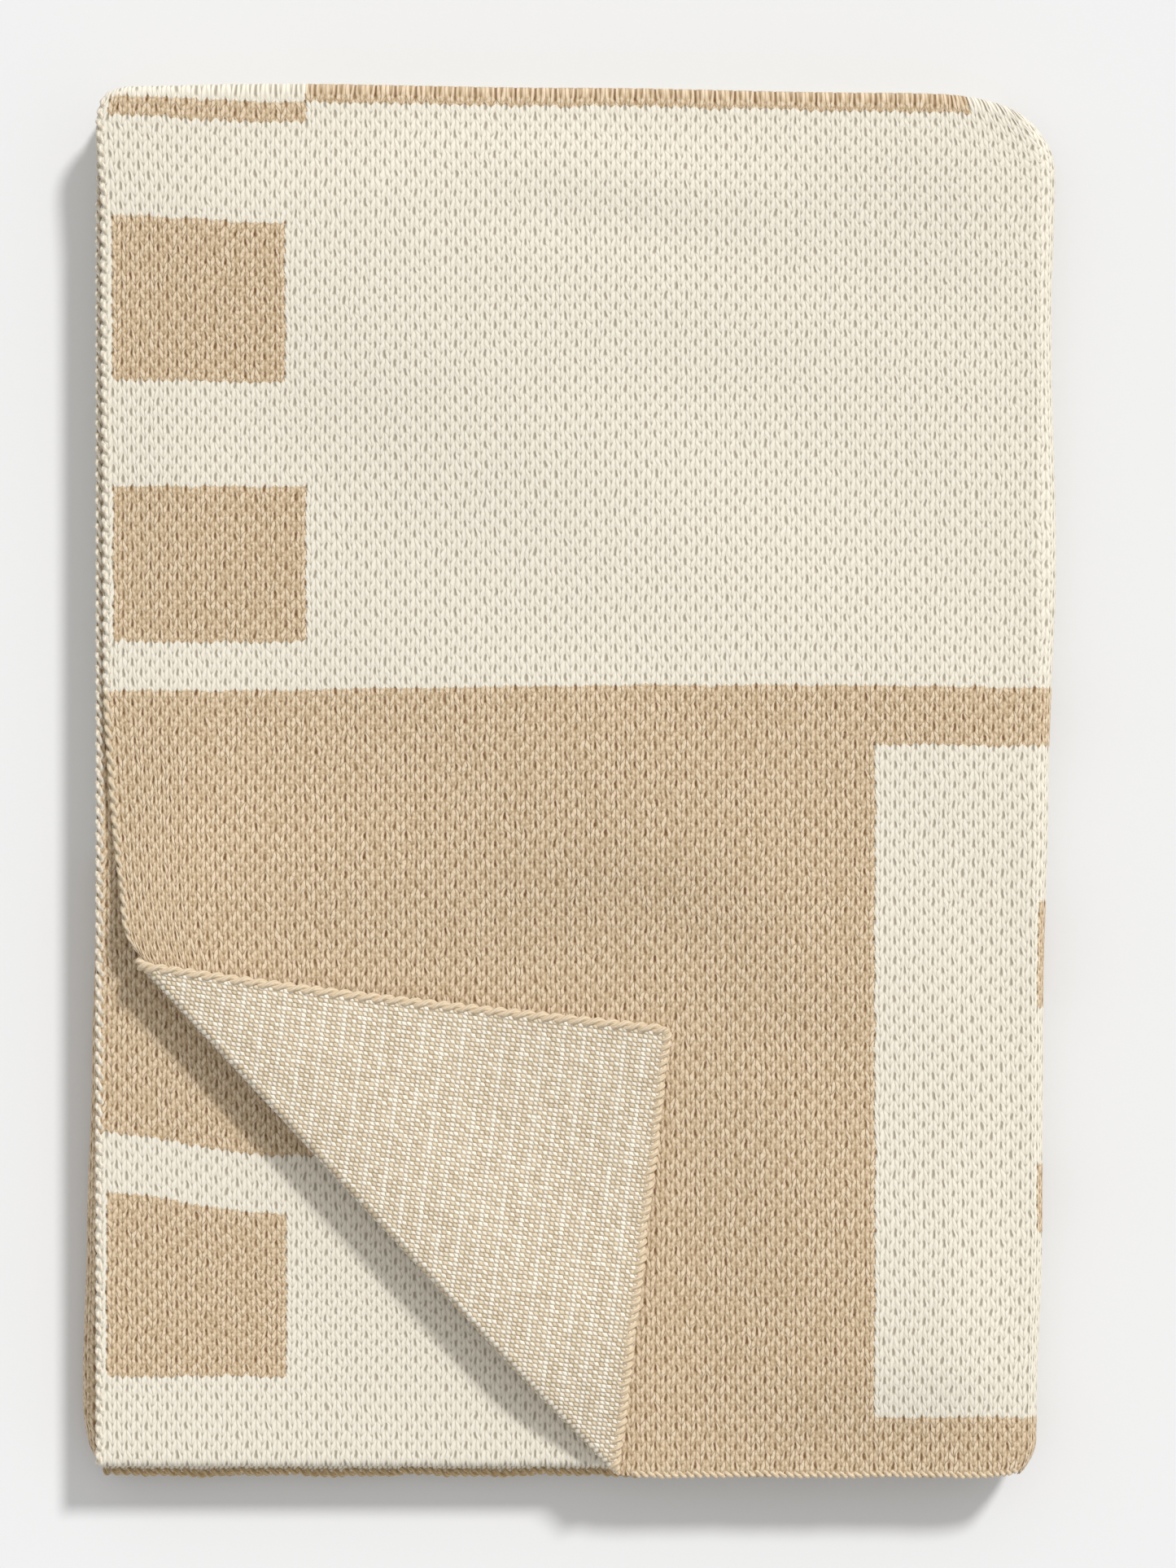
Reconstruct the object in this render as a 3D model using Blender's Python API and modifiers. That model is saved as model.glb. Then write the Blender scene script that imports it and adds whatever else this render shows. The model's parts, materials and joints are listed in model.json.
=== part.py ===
"""Knitted throw blanket, folded in thirds along its length and then zigzag in thirds across its width.

One knitted cloth lies in nine plies. Three plies make a group: the bottom third of the cloth is
folded up over the middle third, and the top third down over both. The three groups are the base on
the floor, the middle group and the cover, joined by a fold on the left and a fold on the right. The
near left corner of the cover's upper ply is turned back over its face.

Units are metres, +Z is up, +Y runs towards the top fold, and the origin is at the middle of the
underside. Each group turns about the fold that joins it to the group below.
"""

import math

import bmesh
import bpy
from mathutils import Vector

# Overall sizes of the folded blanket.
FOLDED_WIDTH = 0.432
FOLDED_LENGTH = 0.616

# The knit.
PLY = 0.0032
PLY_GAP = 0.0004
SEAM_GAP = 0.0003
SELVEDGE_WIDTH = 0.0050
HEM_WIDTH = 0.0052
EDGE_ROUNDING = 0.0007

# How far each free edge lies inside the outline of the folded blanket.
COVER_SELVEDGE_INSET = 0.0065
BASE_SELVEDGE_INSET = 0.0170
COVER_HEM_INSET = 0.0020
LOWER_HEM_INSET = 0.0
BOTTOM_ROLL_INSET = 0.0050
INNER_HEM_INSET = 0.0500

# The turned corner: how much of the side and of the hem it takes, and how far it has slipped down.
TURNED_SIDE = 0.2520
TURNED_HEM = 0.2341
CORNER_SLIP = 0.0290

# The crease springs open to this radius, and the corner slopes from it down to its tip.
CREASE_RADIUS = 0.0090

# How far outside the flat panels the folds turn.
FOLD_AXIS_OUTSET = 0.0028

BEND_STEPS = 10
PLIES_IN_GROUP = 3

PITCH = PLY + PLY_GAP
LEFT = -FOLDED_WIDTH / 2
RIGHT = FOLDED_WIDTH / 2
BOTTOM = -FOLDED_LENGTH / 2
TOP = FOLDED_LENGTH / 2

# Side folds nest three bends, the top fold wraps one ply and the bottom fold joins two plies.
SIDE_BEND_REACH = (PLIES_IN_GROUP - 0.5) * PITCH + PLY / 2
TOP_BEND_RADIUS = PITCH
BOTTOM_BEND_RADIUS = PITCH / 2
LEFT_BEND_X = LEFT + SIDE_BEND_REACH
RIGHT_BEND_X = RIGHT - SIDE_BEND_REACH
TOP_BEND_Y = TOP - TOP_BEND_RADIUS - PLY / 2
BOTTOM_BEND_Y = BOTTOM + BOTTOM_ROLL_INSET + BOTTOM_BEND_RADIUS + PLY / 2

COVER_LEFT = LEFT + COVER_SELVEDGE_INSET
BASE_RIGHT = RIGHT - BASE_SELVEDGE_INSET
COVER_HEM_Y = BOTTOM + COVER_HEM_INSET
LOWER_HEM_Y = BOTTOM + LOWER_HEM_INSET
INNER_HEM_Y = TOP - INNER_HEM_INSET

# The plies of each group, counted from the floor: third folded down, third folded up, middle third.
BASE_PLIES = {"upper": 3, "inner": 2, "outer": 1}
MIDDLE_PLIES = {"upper": 4, "inner": 5, "outer": 6}
COVER_PLIES = {"upper": 9, "inner": 8, "outer": 7}
CORNER_PLY = 10

CREAM = (0.87, 0.81, 0.69, 1.0)
CAMEL = (0.62, 0.48, 0.33, 1.0)
MIXED = (0.72, 0.62, 0.46, 1.0)
KNIT_ROUGHNESS = 0.92


def ply_height(ply):
    """Height of the middle of a ply, counted from 1 at the floor."""
    return (ply - 1) * PITCH + PLY / 2


def fold_height(ply_a, ply_b):
    """Height of the axis of a bend that joins two plies."""
    return (ply_height(ply_a) + ply_height(ply_b)) / 2


LEFT_FOLD_AT = Vector((LEFT_BEND_X - FOLD_AXIS_OUTSET, 0.0, fold_height(3, 4)))
RIGHT_FOLD_AT = Vector((RIGHT_BEND_X + FOLD_AXIS_OUTSET, 0.0, fold_height(6, 7)))
CREASE_HEIGHT = ply_height(COVER_PLIES["upper"]) + CREASE_RADIUS
CREASE_START = Vector((COVER_LEFT, COVER_HEM_Y + TURNED_SIDE, CREASE_HEIGHT))
CREASE_END = Vector((COVER_LEFT + TURNED_HEM, COVER_HEM_Y, CREASE_HEIGHT))

BODY_ORIGINS = {
    "base": Vector((0.0, 0.0, 0.0)),
    "middle": LEFT_FOLD_AT,
    "cover": RIGHT_FOLD_AT,
    "corner": CREASE_START,
}
BODY_PARENTS = {"base": None, "middle": "base", "cover": "middle", "corner": "cover"}


def clear_scene():
    """Removes every object and leaves the file open."""
    for obj in list(bpy.data.objects):
        bpy.data.objects.remove(obj, do_unlink=True)


def new_material(name, color):
    """A rough, non-metallic knit of one colour."""
    material = bpy.data.materials.new(name)
    material.use_nodes = True
    shader = material.node_tree.nodes["Principled BSDF"]
    shader.inputs["Base Color"].default_value = color
    shader.inputs["Roughness"].default_value = KNIT_ROUGHNESS
    shader.inputs["Metallic"].default_value = 0.0
    return material


def new_axes(collection):
    """An empty on each fold's axis, each a child of the one that carries it."""
    axes = {}
    for body, origin in BODY_ORIGINS.items():
        empty = bpy.data.objects.new(f"{body}_axis", None)
        empty.empty_display_size = 0.03
        parent = BODY_PARENTS[body]
        if parent:
            empty.parent = axes[parent]
            empty.location = origin - BODY_ORIGINS[parent]
        collection.objects.link(empty)
        axes[body] = empty
    return axes


class Builder:
    """Puts meshes into the blanket's collection, on the body that carries them."""

    def __init__(self, collection):
        self.collection = collection
        self.axes = new_axes(collection)

    def add(self, name, body, mesh_data, place, color):
        """Finishes a bmesh as a named object whose own origin is at a world place."""
        mesh = bpy.data.meshes.new(name)
        bmesh.ops.recalc_face_normals(mesh_data, faces=mesh_data.faces)
        mesh_data.to_mesh(mesh)
        mesh_data.free()
        mesh.materials.append(new_material(f"{name}_knit", color))
        obj = bpy.data.objects.new(name, mesh)
        obj.parent = self.axes[body]
        obj.location = Vector(place) - BODY_ORIGINS[body]
        self.collection.objects.link(obj)
        return obj


def thicken(obj):
    """Gives an open surface the thickness of the knit, half on each side."""
    solid = obj.modifiers.new("knit_thickness", "SOLIDIFY")
    solid.thickness = PLY
    solid.offset = 0.0
    solid.use_even_offset = True


def round_edges(obj):
    """Softens the long edges of a hem or a selvedge."""
    bevel = obj.modifiers.new("soft_edge", "BEVEL")
    bevel.width = EDGE_ROUNDING
    bevel.segments = 2
    bevel.limit_method = "ANGLE"


def add_panel(builder, name, body, x_span, y_span, ply, color):
    """A flat rectangular stretch of one ply."""
    size = Vector((x_span[1] - x_span[0], y_span[1] - y_span[0], PLY))
    middle = ((x_span[0] + x_span[1]) / 2, (y_span[0] + y_span[1]) / 2, ply_height(ply))
    mesh_data = bmesh.new()
    bmesh.ops.create_cube(mesh_data, size=1.0)
    bmesh.ops.scale(mesh_data, vec=size, verts=mesh_data.verts)
    return builder.add(name, body, mesh_data, middle, color)


def add_plate(builder, name, body, outline, height_at, color):
    """A flat stretch of one ply with a straight-sided outline, at the height that height_at gives."""
    points = [Vector((x, y, height_at(x, y))) for x, y in outline]
    place = points[0]
    mesh_data = bmesh.new()
    corners = [mesh_data.verts.new(point - place) for point in points]
    mesh_data.faces.new(corners)
    obj = builder.add(name, body, mesh_data, place, color)
    thicken(obj)
    return obj


def add_bend(builder, name, body, start, end, radius, outward, color):
    """A half-round bend of one ply about the line from start to end, bulging outwards."""
    start, end, outward = Vector(start), Vector(end), Vector(outward)
    run = end - start
    inside = Vector((0.0, 0.0, PLY / 2 - radius))
    outside = Vector((0.0, 0.0, -PLY / 2 - radius))
    mesh_data = bmesh.new()
    corners = [mesh_data.verts.new(at) for at in (inside, outside, run + outside, run + inside)]
    section = mesh_data.faces.new(corners)
    turn = math.pi if run.cross(outside).dot(outward) > 0 else -math.pi
    bmesh.ops.spin(
        mesh_data,
        geom=[section],
        cent=(0.0, 0.0, 0.0),
        axis=run.normalized(),
        angle=turn,
        steps=BEND_STEPS,
    )
    return builder.add(name, body, mesh_data, start, color)


class Line:
    """A straight line in the plane of a ply, which can be shifted to its left."""

    def __init__(self, start, end, shift=0.0):
        self.along = (Vector(end[:2]) - Vector(start[:2])).normalized()
        self.inward = Vector((-self.along.y, self.along.x))
        self.at = Vector(start[:2]) + self.inward * shift

    def distance(self, point):
        """How far a point lies to the left of the line."""
        return (Vector(point) - self.at).dot(self.inward)

    def meet(self, other):
        """The point where two lines cross."""
        cross = self.along.x * other.along.y - self.along.y * other.along.x
        gap = other.at - self.at
        run = (gap.x * other.along.y - gap.y * other.along.x) / cross
        return tuple(self.at + self.along * run)


def mirrored_in_crease(point):
    """Where a point of the upper ply lands when the corner is turned back along the crease."""
    along = (CREASE_END - CREASE_START).xy.normalized()
    offset = Vector(point) - CREASE_START.xy
    along_part = along * offset.dot(along)
    return CREASE_START.xy + along_part * 2 - offset


def group_rows():
    """The stretch along Y that each ply of a group covers, apart from its hem."""
    top = TOP_BEND_Y - SEAM_GAP
    bottom = BOTTOM_BEND_Y + SEAM_GAP
    return {
        "inner": (bottom, INNER_HEM_Y - HEM_WIDTH - SEAM_GAP),
        "outer": (bottom, top),
        "upper": (LOWER_HEM_Y + HEM_WIDTH + SEAM_GAP, top),
    }


def add_group(builder, body, plies, x_span, hem_span, upper_panel=True):
    """The plies, hems and end bends that the three groups share.

    x_span is the stretch of the panels along X, and hem_span that of the hems.
    """
    rows = group_rows()
    for third in ("outer", "inner", "upper"):
        if third != "upper" or upper_panel:
            add_panel(builder, f"{body}_{third}_panel", body, x_span, rows[third], plies[third], CREAM)
    inner_hem = (INNER_HEM_Y - HEM_WIDTH, INNER_HEM_Y)
    round_edges(
        add_panel(builder, f"{body}_inner_hem", body, hem_span, inner_hem, plies["inner"], CAMEL)
    )
    if upper_panel:
        upper_hem = (LOWER_HEM_Y, LOWER_HEM_Y + HEM_WIDTH)
        round_edges(
            add_panel(builder, f"{body}_upper_hem", body, hem_span, upper_hem, plies["upper"], CAMEL)
        )
    ends = (
        ("top_bend", "upper", TOP_BEND_Y, TOP_BEND_RADIUS, (0, 1, 0)),
        ("bottom_bend", "inner", BOTTOM_BEND_Y, BOTTOM_BEND_RADIUS, (0, -1, 0)),
    )
    for label, third, y, radius, outward in ends:
        height = fold_height(plies[third], plies["outer"])
        start, end = (x_span[0], y, height), (x_span[1], y, height)
        add_bend(builder, f"{body}_{label}", body, start, end, radius, outward, CREAM)


def add_side_fold(builder, side, body, x, plies, outward, nesting):
    """The three nested bends of a side fold, named by the third of the cloth that each belongs to."""
    rows = group_rows()
    height = fold_height(*plies)
    for order, third in enumerate(nesting):
        low, high = rows[third]
        radius = (order + 0.5) * PITCH
        start, end = (x, low, height), (x, high, height)
        add_bend(builder, f"{side}_fold_{third}", body, start, end, radius, outward, CREAM)


def add_selvedges(builder, body, plies, x_span, thirds):
    """The chain edge along one side of a group, a strip for each ply."""
    rows = group_rows()
    for third in thirds:
        name = f"{body}_{third}_selvedge"
        round_edges(add_panel(builder, name, body, x_span, rows[third], plies[third], CREAM))


def add_cover_upper_ply(builder):
    """The cover's top ply, which lacks the corner that is turned back."""
    ply = COVER_PLIES["upper"]
    rows = group_rows()
    panel_left = COVER_LEFT + SELVEDGE_WIDTH + SEAM_GAP
    panel_right = RIGHT_BEND_X - SEAM_GAP
    panel_bottom = COVER_HEM_Y + HEM_WIDTH + SEAM_GAP
    crease = Line(CREASE_START, CREASE_END, SEAM_GAP)
    side = Line((panel_left, BOTTOM), (panel_left, TOP))
    hem = Line((LEFT, panel_bottom), (RIGHT, panel_bottom))
    outline = [
        crease.meet(hem),
        (panel_right, panel_bottom),
        (panel_right, rows["upper"][1]),
        (panel_left, rows["upper"][1]),
        crease.meet(side),
    ]
    height = ply_height(ply)
    add_plate(builder, "cover_upper_panel", "cover", outline, lambda x, y: height, CREAM)
    selvedge_x = (COVER_LEFT, COVER_LEFT + SELVEDGE_WIDTH)
    selvedge_y = (CREASE_START.y + SEAM_GAP * 2, rows["upper"][1])
    round_edges(
        add_panel(builder, "cover_upper_selvedge", "cover", selvedge_x, selvedge_y, ply, CREAM)
    )
    hem_x = (CREASE_END.x + SEAM_GAP * 2, panel_right)
    hem_y = (COVER_HEM_Y, COVER_HEM_Y + HEM_WIDTH)
    round_edges(add_panel(builder, "cover_upper_hem", "cover", hem_x, hem_y, ply, CAMEL))


def add_turned_corner(builder):
    """The corner turned back over the cover, and the roll of cloth along its crease."""
    tip = mirrored_in_crease((COVER_LEFT, COVER_HEM_Y)) - Vector((0.0, CORNER_SLIP))
    side_way = tip - (CREASE_START.xy - Vector((0.0, CORNER_SLIP)))
    foot = CREASE_END.xy

    crease = Line(CREASE_START, CREASE_END, SEAM_GAP)
    side = Line(tip, tip - side_way)
    side_inside = Line(tip, tip - side_way, SELVEDGE_WIDTH)
    panel_side = Line(tip, tip - side_way, SELVEDGE_WIDTH + SEAM_GAP)
    hem = Line(foot, tip)
    hem_inside = Line(foot, tip, HEM_WIDTH)
    panel_hem = Line(foot, tip, HEM_WIDTH + SEAM_GAP)

    def height_at(x, y):
        """Height of the corner, which falls evenly from the crease to its tip."""
        share = crease.distance((x, y)) / crease.distance(tip)
        top = CREASE_HEIGHT + CREASE_RADIUS
        return top + (ply_height(CORNER_PLY) - top) * share

    panel = [crease.meet(panel_side), crease.meet(panel_hem), panel_hem.meet(panel_side)]
    selvedge = [
        crease.meet(side),
        crease.meet(side_inside),
        side_inside.meet(hem),
        hem.meet(side),
    ]
    hem_strip = [
        crease.meet(hem_inside),
        crease.meet(hem),
        hem.meet(panel_side),
        hem_inside.meet(panel_side),
    ]
    add_plate(builder, "corner_panel", "corner", panel, height_at, MIXED)
    round_edges(add_plate(builder, "corner_selvedge", "corner", selvedge, height_at, CAMEL))
    round_edges(add_plate(builder, "corner_hem", "corner", hem_strip, height_at, CAMEL))

    crease_axis = Line(CREASE_START, CREASE_END)
    roll_foot_y = COVER_HEM_Y + CREASE_RADIUS + PITCH
    roll_foot = Line((LEFT, roll_foot_y), (RIGHT, roll_foot_y))
    start = (*crease_axis.meet(side), CREASE_HEIGHT)
    end = (*crease_axis.meet(roll_foot), CREASE_HEIGHT)
    outward = -crease_axis.inward.to_3d()
    add_bend(builder, "corner_crease", "cover", start, end, CREASE_RADIUS, outward, CAMEL)


def main():
    """Builds the folded blanket from the floor up."""
    clear_scene()
    collection = bpy.data.collections.new("folded_throw_blanket")
    bpy.context.scene.collection.children.link(collection)
    builder = Builder(collection)

    left_x = LEFT_BEND_X + SEAM_GAP
    right_x = RIGHT_BEND_X - SEAM_GAP
    base_selvedge_x = (BASE_RIGHT - SELVEDGE_WIDTH, BASE_RIGHT)
    base_x = (left_x, base_selvedge_x[0] - SEAM_GAP)
    cover_selvedge_x = (COVER_LEFT, COVER_LEFT + SELVEDGE_WIDTH)
    cover_x = (cover_selvedge_x[1] + SEAM_GAP, right_x)

    add_group(builder, "base", BASE_PLIES, base_x, (left_x, BASE_RIGHT))
    add_selvedges(builder, "base", BASE_PLIES, base_selvedge_x, ("outer", "inner", "upper"))
    add_side_fold(
        builder, "left", "base", LEFT_BEND_X, (3, 4), (-1, 0, 0), ("upper", "inner", "outer")
    )

    add_group(builder, "middle", MIDDLE_PLIES, (left_x, right_x), (left_x, right_x))
    add_side_fold(
        builder, "right", "middle", RIGHT_BEND_X, (6, 7), (1, 0, 0), ("outer", "inner", "upper")
    )

    add_group(builder, "cover", COVER_PLIES, cover_x, (COVER_LEFT, right_x), upper_panel=False)
    add_selvedges(builder, "cover", COVER_PLIES, cover_selvedge_x, ("outer", "inner"))
    add_cover_upper_ply(builder)
    add_turned_corner(builder)


main()
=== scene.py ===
"""Folded knitted throw blanket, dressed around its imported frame.

One double-jacquard cloth lies in nine plies: three along its length, then three across its width in
a zigzag, with one corner of the top ply turned back. Every stretch of cloth is made flat, stitch by
stitch, and then laid where the frame's folds put it. Units are metres, +Z up, +Y towards the top fold.
"""

import json
import logging
import math
from collections.abc import Callable
from dataclasses import dataclass, field
from enum import Enum
from functools import partial

import bmesh
import bpy
import numpy as np
from mathutils import Matrix, Vector


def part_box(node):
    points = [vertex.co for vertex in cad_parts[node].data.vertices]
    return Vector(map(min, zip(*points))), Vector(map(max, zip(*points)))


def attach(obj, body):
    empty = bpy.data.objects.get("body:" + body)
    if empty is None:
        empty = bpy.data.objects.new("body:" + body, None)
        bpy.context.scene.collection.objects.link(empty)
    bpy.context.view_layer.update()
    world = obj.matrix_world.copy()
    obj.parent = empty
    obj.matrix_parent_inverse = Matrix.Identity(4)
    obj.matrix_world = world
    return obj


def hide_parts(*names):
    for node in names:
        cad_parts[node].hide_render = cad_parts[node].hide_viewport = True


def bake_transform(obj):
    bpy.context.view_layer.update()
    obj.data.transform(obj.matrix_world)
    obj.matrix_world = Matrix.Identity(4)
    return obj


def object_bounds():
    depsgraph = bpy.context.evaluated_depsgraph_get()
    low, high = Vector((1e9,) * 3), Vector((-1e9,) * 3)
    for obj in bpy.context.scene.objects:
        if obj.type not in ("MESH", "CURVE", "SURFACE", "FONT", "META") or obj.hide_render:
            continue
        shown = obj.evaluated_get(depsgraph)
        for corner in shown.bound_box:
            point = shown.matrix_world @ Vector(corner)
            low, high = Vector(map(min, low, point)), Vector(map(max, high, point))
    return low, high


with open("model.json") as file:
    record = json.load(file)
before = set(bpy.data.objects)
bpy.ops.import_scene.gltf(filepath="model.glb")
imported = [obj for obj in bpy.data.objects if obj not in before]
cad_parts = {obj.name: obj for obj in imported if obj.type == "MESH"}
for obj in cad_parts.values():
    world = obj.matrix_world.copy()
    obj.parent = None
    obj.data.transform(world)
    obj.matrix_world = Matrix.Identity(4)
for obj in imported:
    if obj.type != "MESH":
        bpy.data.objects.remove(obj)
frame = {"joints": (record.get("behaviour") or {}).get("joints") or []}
CAD_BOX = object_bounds()

LOG = logging.getLogger("folded_throw")
Array = np.ndarray
Place = Callable[[Array, Array, Array], Array]
Socket = bpy.types.NodeSocket
Value = float | tuple[float, ...] | Socket

# The cloth in stitches: wales run along the cloth's length, courses across it.
WALES_IN_PANEL = 94
WALES_IN_FOLD = 6
COURSES_IN_THIRD = 142
PLY_HALF = 0.00125
# The slant of a stitch's leg, in courses from the middle of its wale to the edge.
LEG_SLOPE = 0.85
CLOTH_MAP = "cloth"


class Region(Enum):
    """The stretches of the width fold, from the cover's free edge to the base's."""

    COVER = "cover"
    RIGHT_FOLD = "right_fold"
    MIDDLE = "middle"
    LEFT_FOLD = "left_fold"
    BASE = "base"


class Third(Enum):
    """The thirds of the cloth's length, as the frame names them."""

    UPPER = "upper"
    OUTER = "outer"
    INNER = "inner"


def smooth(t: Array | float) -> Array:
    """Smoothstep of a value clipped to 0..1."""
    t = np.clip(t, 0.0, 1.0)
    return t * t * (3.0 - 2.0 * t)


def eased(at: Array, knots: tuple[float, ...], values: tuple[float, ...]) -> Array:
    """Values at knots, joined by smooth steps.

    Args:
        at: Where the values are wanted.
        knots: Rising positions.
        values: The value at each knot.

    Returns:
        The value at each position.
    """
    k = np.clip(np.searchsorted(knots, at, side="right") - 1, 0, len(knots) - 2)
    low, high = np.take(knots, k), np.take(knots, k + 1)
    start, end = np.take(values, k), np.take(values, k + 1)
    return start + (end - start) * smooth((at - low) / (high - low))


def span(low: float, high: float, step: float) -> Array:
    """Evenly spaced positions from low to high, about step apart."""
    return np.linspace(low, high, max(1, round((high - low) / step)) + 1)


def joined(*parts: Array) -> Array:
    """Positions end to end, each shared end kept once."""
    return np.concatenate([parts[0], *(part[1:] for part in parts[1:])])


def middle_height(node: str) -> float:
    """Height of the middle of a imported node."""
    low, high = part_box(node)
    return (low.z + high.z) / 2


@dataclass(frozen=True)
class FoldPlan:
    """Where the frame's folds and free edges lie, and the map from flat cloth to folded cloth."""

    pitch: float
    cover_left: float
    base_right: float
    left_bend: float
    right_bend: float
    top_bend: float
    bottom_bend: float
    cover_hem: float
    lower_hem: float
    inner_hem: float
    base_mid: float
    middle_mid: float
    cover_mid: float

    @classmethod
    def from_frame(cls) -> "FoldPlan":
        """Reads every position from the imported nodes.

        Returns:
            The plan.
        """
        return cls(
            pitch=middle_height("base_inner_panel") - middle_height("base_outer_panel"),
            cover_left=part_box("cover_inner_selvedge")[0].x,
            base_right=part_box("base_inner_selvedge")[1].x,
            left_bend=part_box("left_fold_outer")[1].x,
            right_bend=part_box("right_fold_upper")[0].x,
            top_bend=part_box("cover_top_bend")[0].y,
            bottom_bend=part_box("cover_bottom_bend")[1].y,
            cover_hem=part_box("cover_upper_hem")[0].y,
            lower_hem=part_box("base_upper_hem")[0].y,
            inner_hem=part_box("cover_inner_hem")[1].y,
            base_mid=middle_height("base_inner_panel"),
            middle_mid=middle_height("middle_inner_panel"),
            cover_mid=middle_height("cover_inner_panel"),
        )

    @property
    def wale(self) -> float:
        """Width of one wale, about 4.4 mm."""
        return (self.right_bend - self.cover_left) / WALES_IN_PANEL

    @property
    def course(self) -> float:
        """Height of one course, about 4.3 mm."""
        return self.upper_end / COURSES_IN_THIRD

    @property
    def low_start(self) -> float:
        """Cloth length of the hem of the lower groups, counted from the cover's hem."""
        return self.lower_hem - self.cover_hem

    @property
    def upper_end(self) -> float:
        """Cloth length from the cover's hem to the top bend."""
        return self.top_bend - self.cover_hem

    @property
    def outer_start(self) -> float:
        """Cloth length at which the middle third begins, past the top bend."""
        return self.upper_end + math.pi * self.pitch

    @property
    def outer_end(self) -> float:
        """Cloth length at which the middle third ends."""
        return self.outer_start + self.top_bend - self.bottom_bend

    @property
    def inner_start(self) -> float:
        """Cloth length at which the tucked third begins, past the bottom bend."""
        return self.outer_end + math.pi * self.pitch / 2

    @property
    def inner_end(self) -> float:
        """Cloth length at the hem of the tucked third."""
        return self.inner_start + self.inner_hem - self.bottom_bend

    def along_length(self, v: Array, h: Array) -> tuple[Array, Array]:
        """Folds the cloth's length.

        Args:
            v: Cloth length from the cover's hem.
            h: Height off the ply's middle, towards the knit face.

        Returns:
            Y, and the offset from the tucked third along the group's normal.
        """
        p = self.pitch
        turn = np.clip((v - self.upper_end) / p, 0.0, math.pi)
        y = self.cover_hem + np.minimum(v, self.upper_end) + (p + h) * np.sin(turn)
        d = (p + h) * np.cos(turn)
        outer = v > self.outer_start
        back = np.clip((v - self.outer_end) / (p / 2), 0.0, math.pi)
        radius = p / 2 + h
        y_outer = self.top_bend - (np.minimum(v, self.outer_end) - self.outer_start)
        y_outer = y_outer - radius * np.sin(back) + np.maximum(v - self.inner_start, 0.0)
        d_outer = -p / 2 - radius * np.cos(back)
        return np.where(outer, y_outer, y), np.where(outer, d_outer, d)

    def across_width(self, region: Region, c: Array, d: Array) -> tuple[Array, Array]:
        """Folds the cloth's width.

        Args:
            region: The stretch of the width.
            c: X on the cover, distance from the last fold on the other groups, and 0..1 round a fold.
            d: Offset from the tucked third along the group's normal.

        Returns:
            X and Z.
        """
        if region is Region.COVER:
            return c, self.cover_mid + d
        if region is Region.MIDDLE:
            return self.right_bend - c, self.middle_mid - d
        if region is Region.BASE:
            return self.left_bend + c, self.base_mid + d
        angle = math.pi * (0.5 - c)
        if region is Region.RIGHT_FOLD:
            radius = (self.cover_mid - self.middle_mid) / 2 + d
            centre = (self.cover_mid + self.middle_mid) / 2
            return self.right_bend + radius * np.cos(angle), centre + radius * np.sin(angle)
        radius = (self.middle_mid - self.base_mid) / 2 - d
        centre = (self.middle_mid + self.base_mid) / 2
        return self.left_bend - radius * np.cos(angle), centre + radius * np.sin(angle)

    def cloth_width(self, region: Region, c: Array) -> Array:
        """Distance across the flat cloth, in whole wales from fold to fold.

        Args:
            region: The stretch of the width.
            c: Position within it, as for across_width.

        Returns:
            The distance from the cover's free edge.
        """
        panel, fold = WALES_IN_PANEL * self.wale, WALES_IN_FOLD * self.wale
        if region is Region.COVER:
            return c - self.cover_left
        if region is Region.RIGHT_FOLD:
            return panel + c * fold
        if region is Region.MIDDLE:
            return panel + fold + c
        if region is Region.LEFT_FOLD:
            return 2 * panel + fold + c * fold
        return 2 * panel + 2 * fold + c


@dataclass(frozen=True)
class RoundedCorner:
    """A corner of the stack's outline: which one, how far inside the frame, and how far it rounds."""

    side: int
    end: int
    inset: tuple[float, float]
    reach: tuple[float, float]
    low_only: bool = False

    def press(self, x: Array, y: Array, low: Array) -> tuple[Array, Array]:
        """Presses the square corner onto an ellipse.

        Args:
            x: X before.
            y: Y before.
            low: Which points lie below the cover.

        Returns:
            X and Y after.
        """
        start_x = self.side * (CAD_BOX[1].x - self.inset[0] - self.reach[0])
        start_y = self.end * (CAD_BOX[1].y - self.inset[1] - self.reach[1])
        limit = 1.15
        across = np.clip((x - start_x) * self.side / self.reach[0], 0.0, limit)
        along = np.clip((y - start_y) * self.end / self.reach[1], 0.0, limit)
        inside = (across > 0.0) & (along > 0.0) & (low | (not self.low_only))
        squeeze_x = np.sqrt(1.0 - np.minimum(along, 1.0) ** 2 / 2.0) - 1.0
        squeeze_y = np.sqrt(1.0 - np.minimum(across, 1.0) ** 2 / 2.0) - 1.0
        new_x = x + self.side * self.reach[0] * across * squeeze_x
        new_y = y + self.end * self.reach[1] * along * squeeze_y
        return np.where(inside, new_x, x), np.where(inside, new_y, y)


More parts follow.
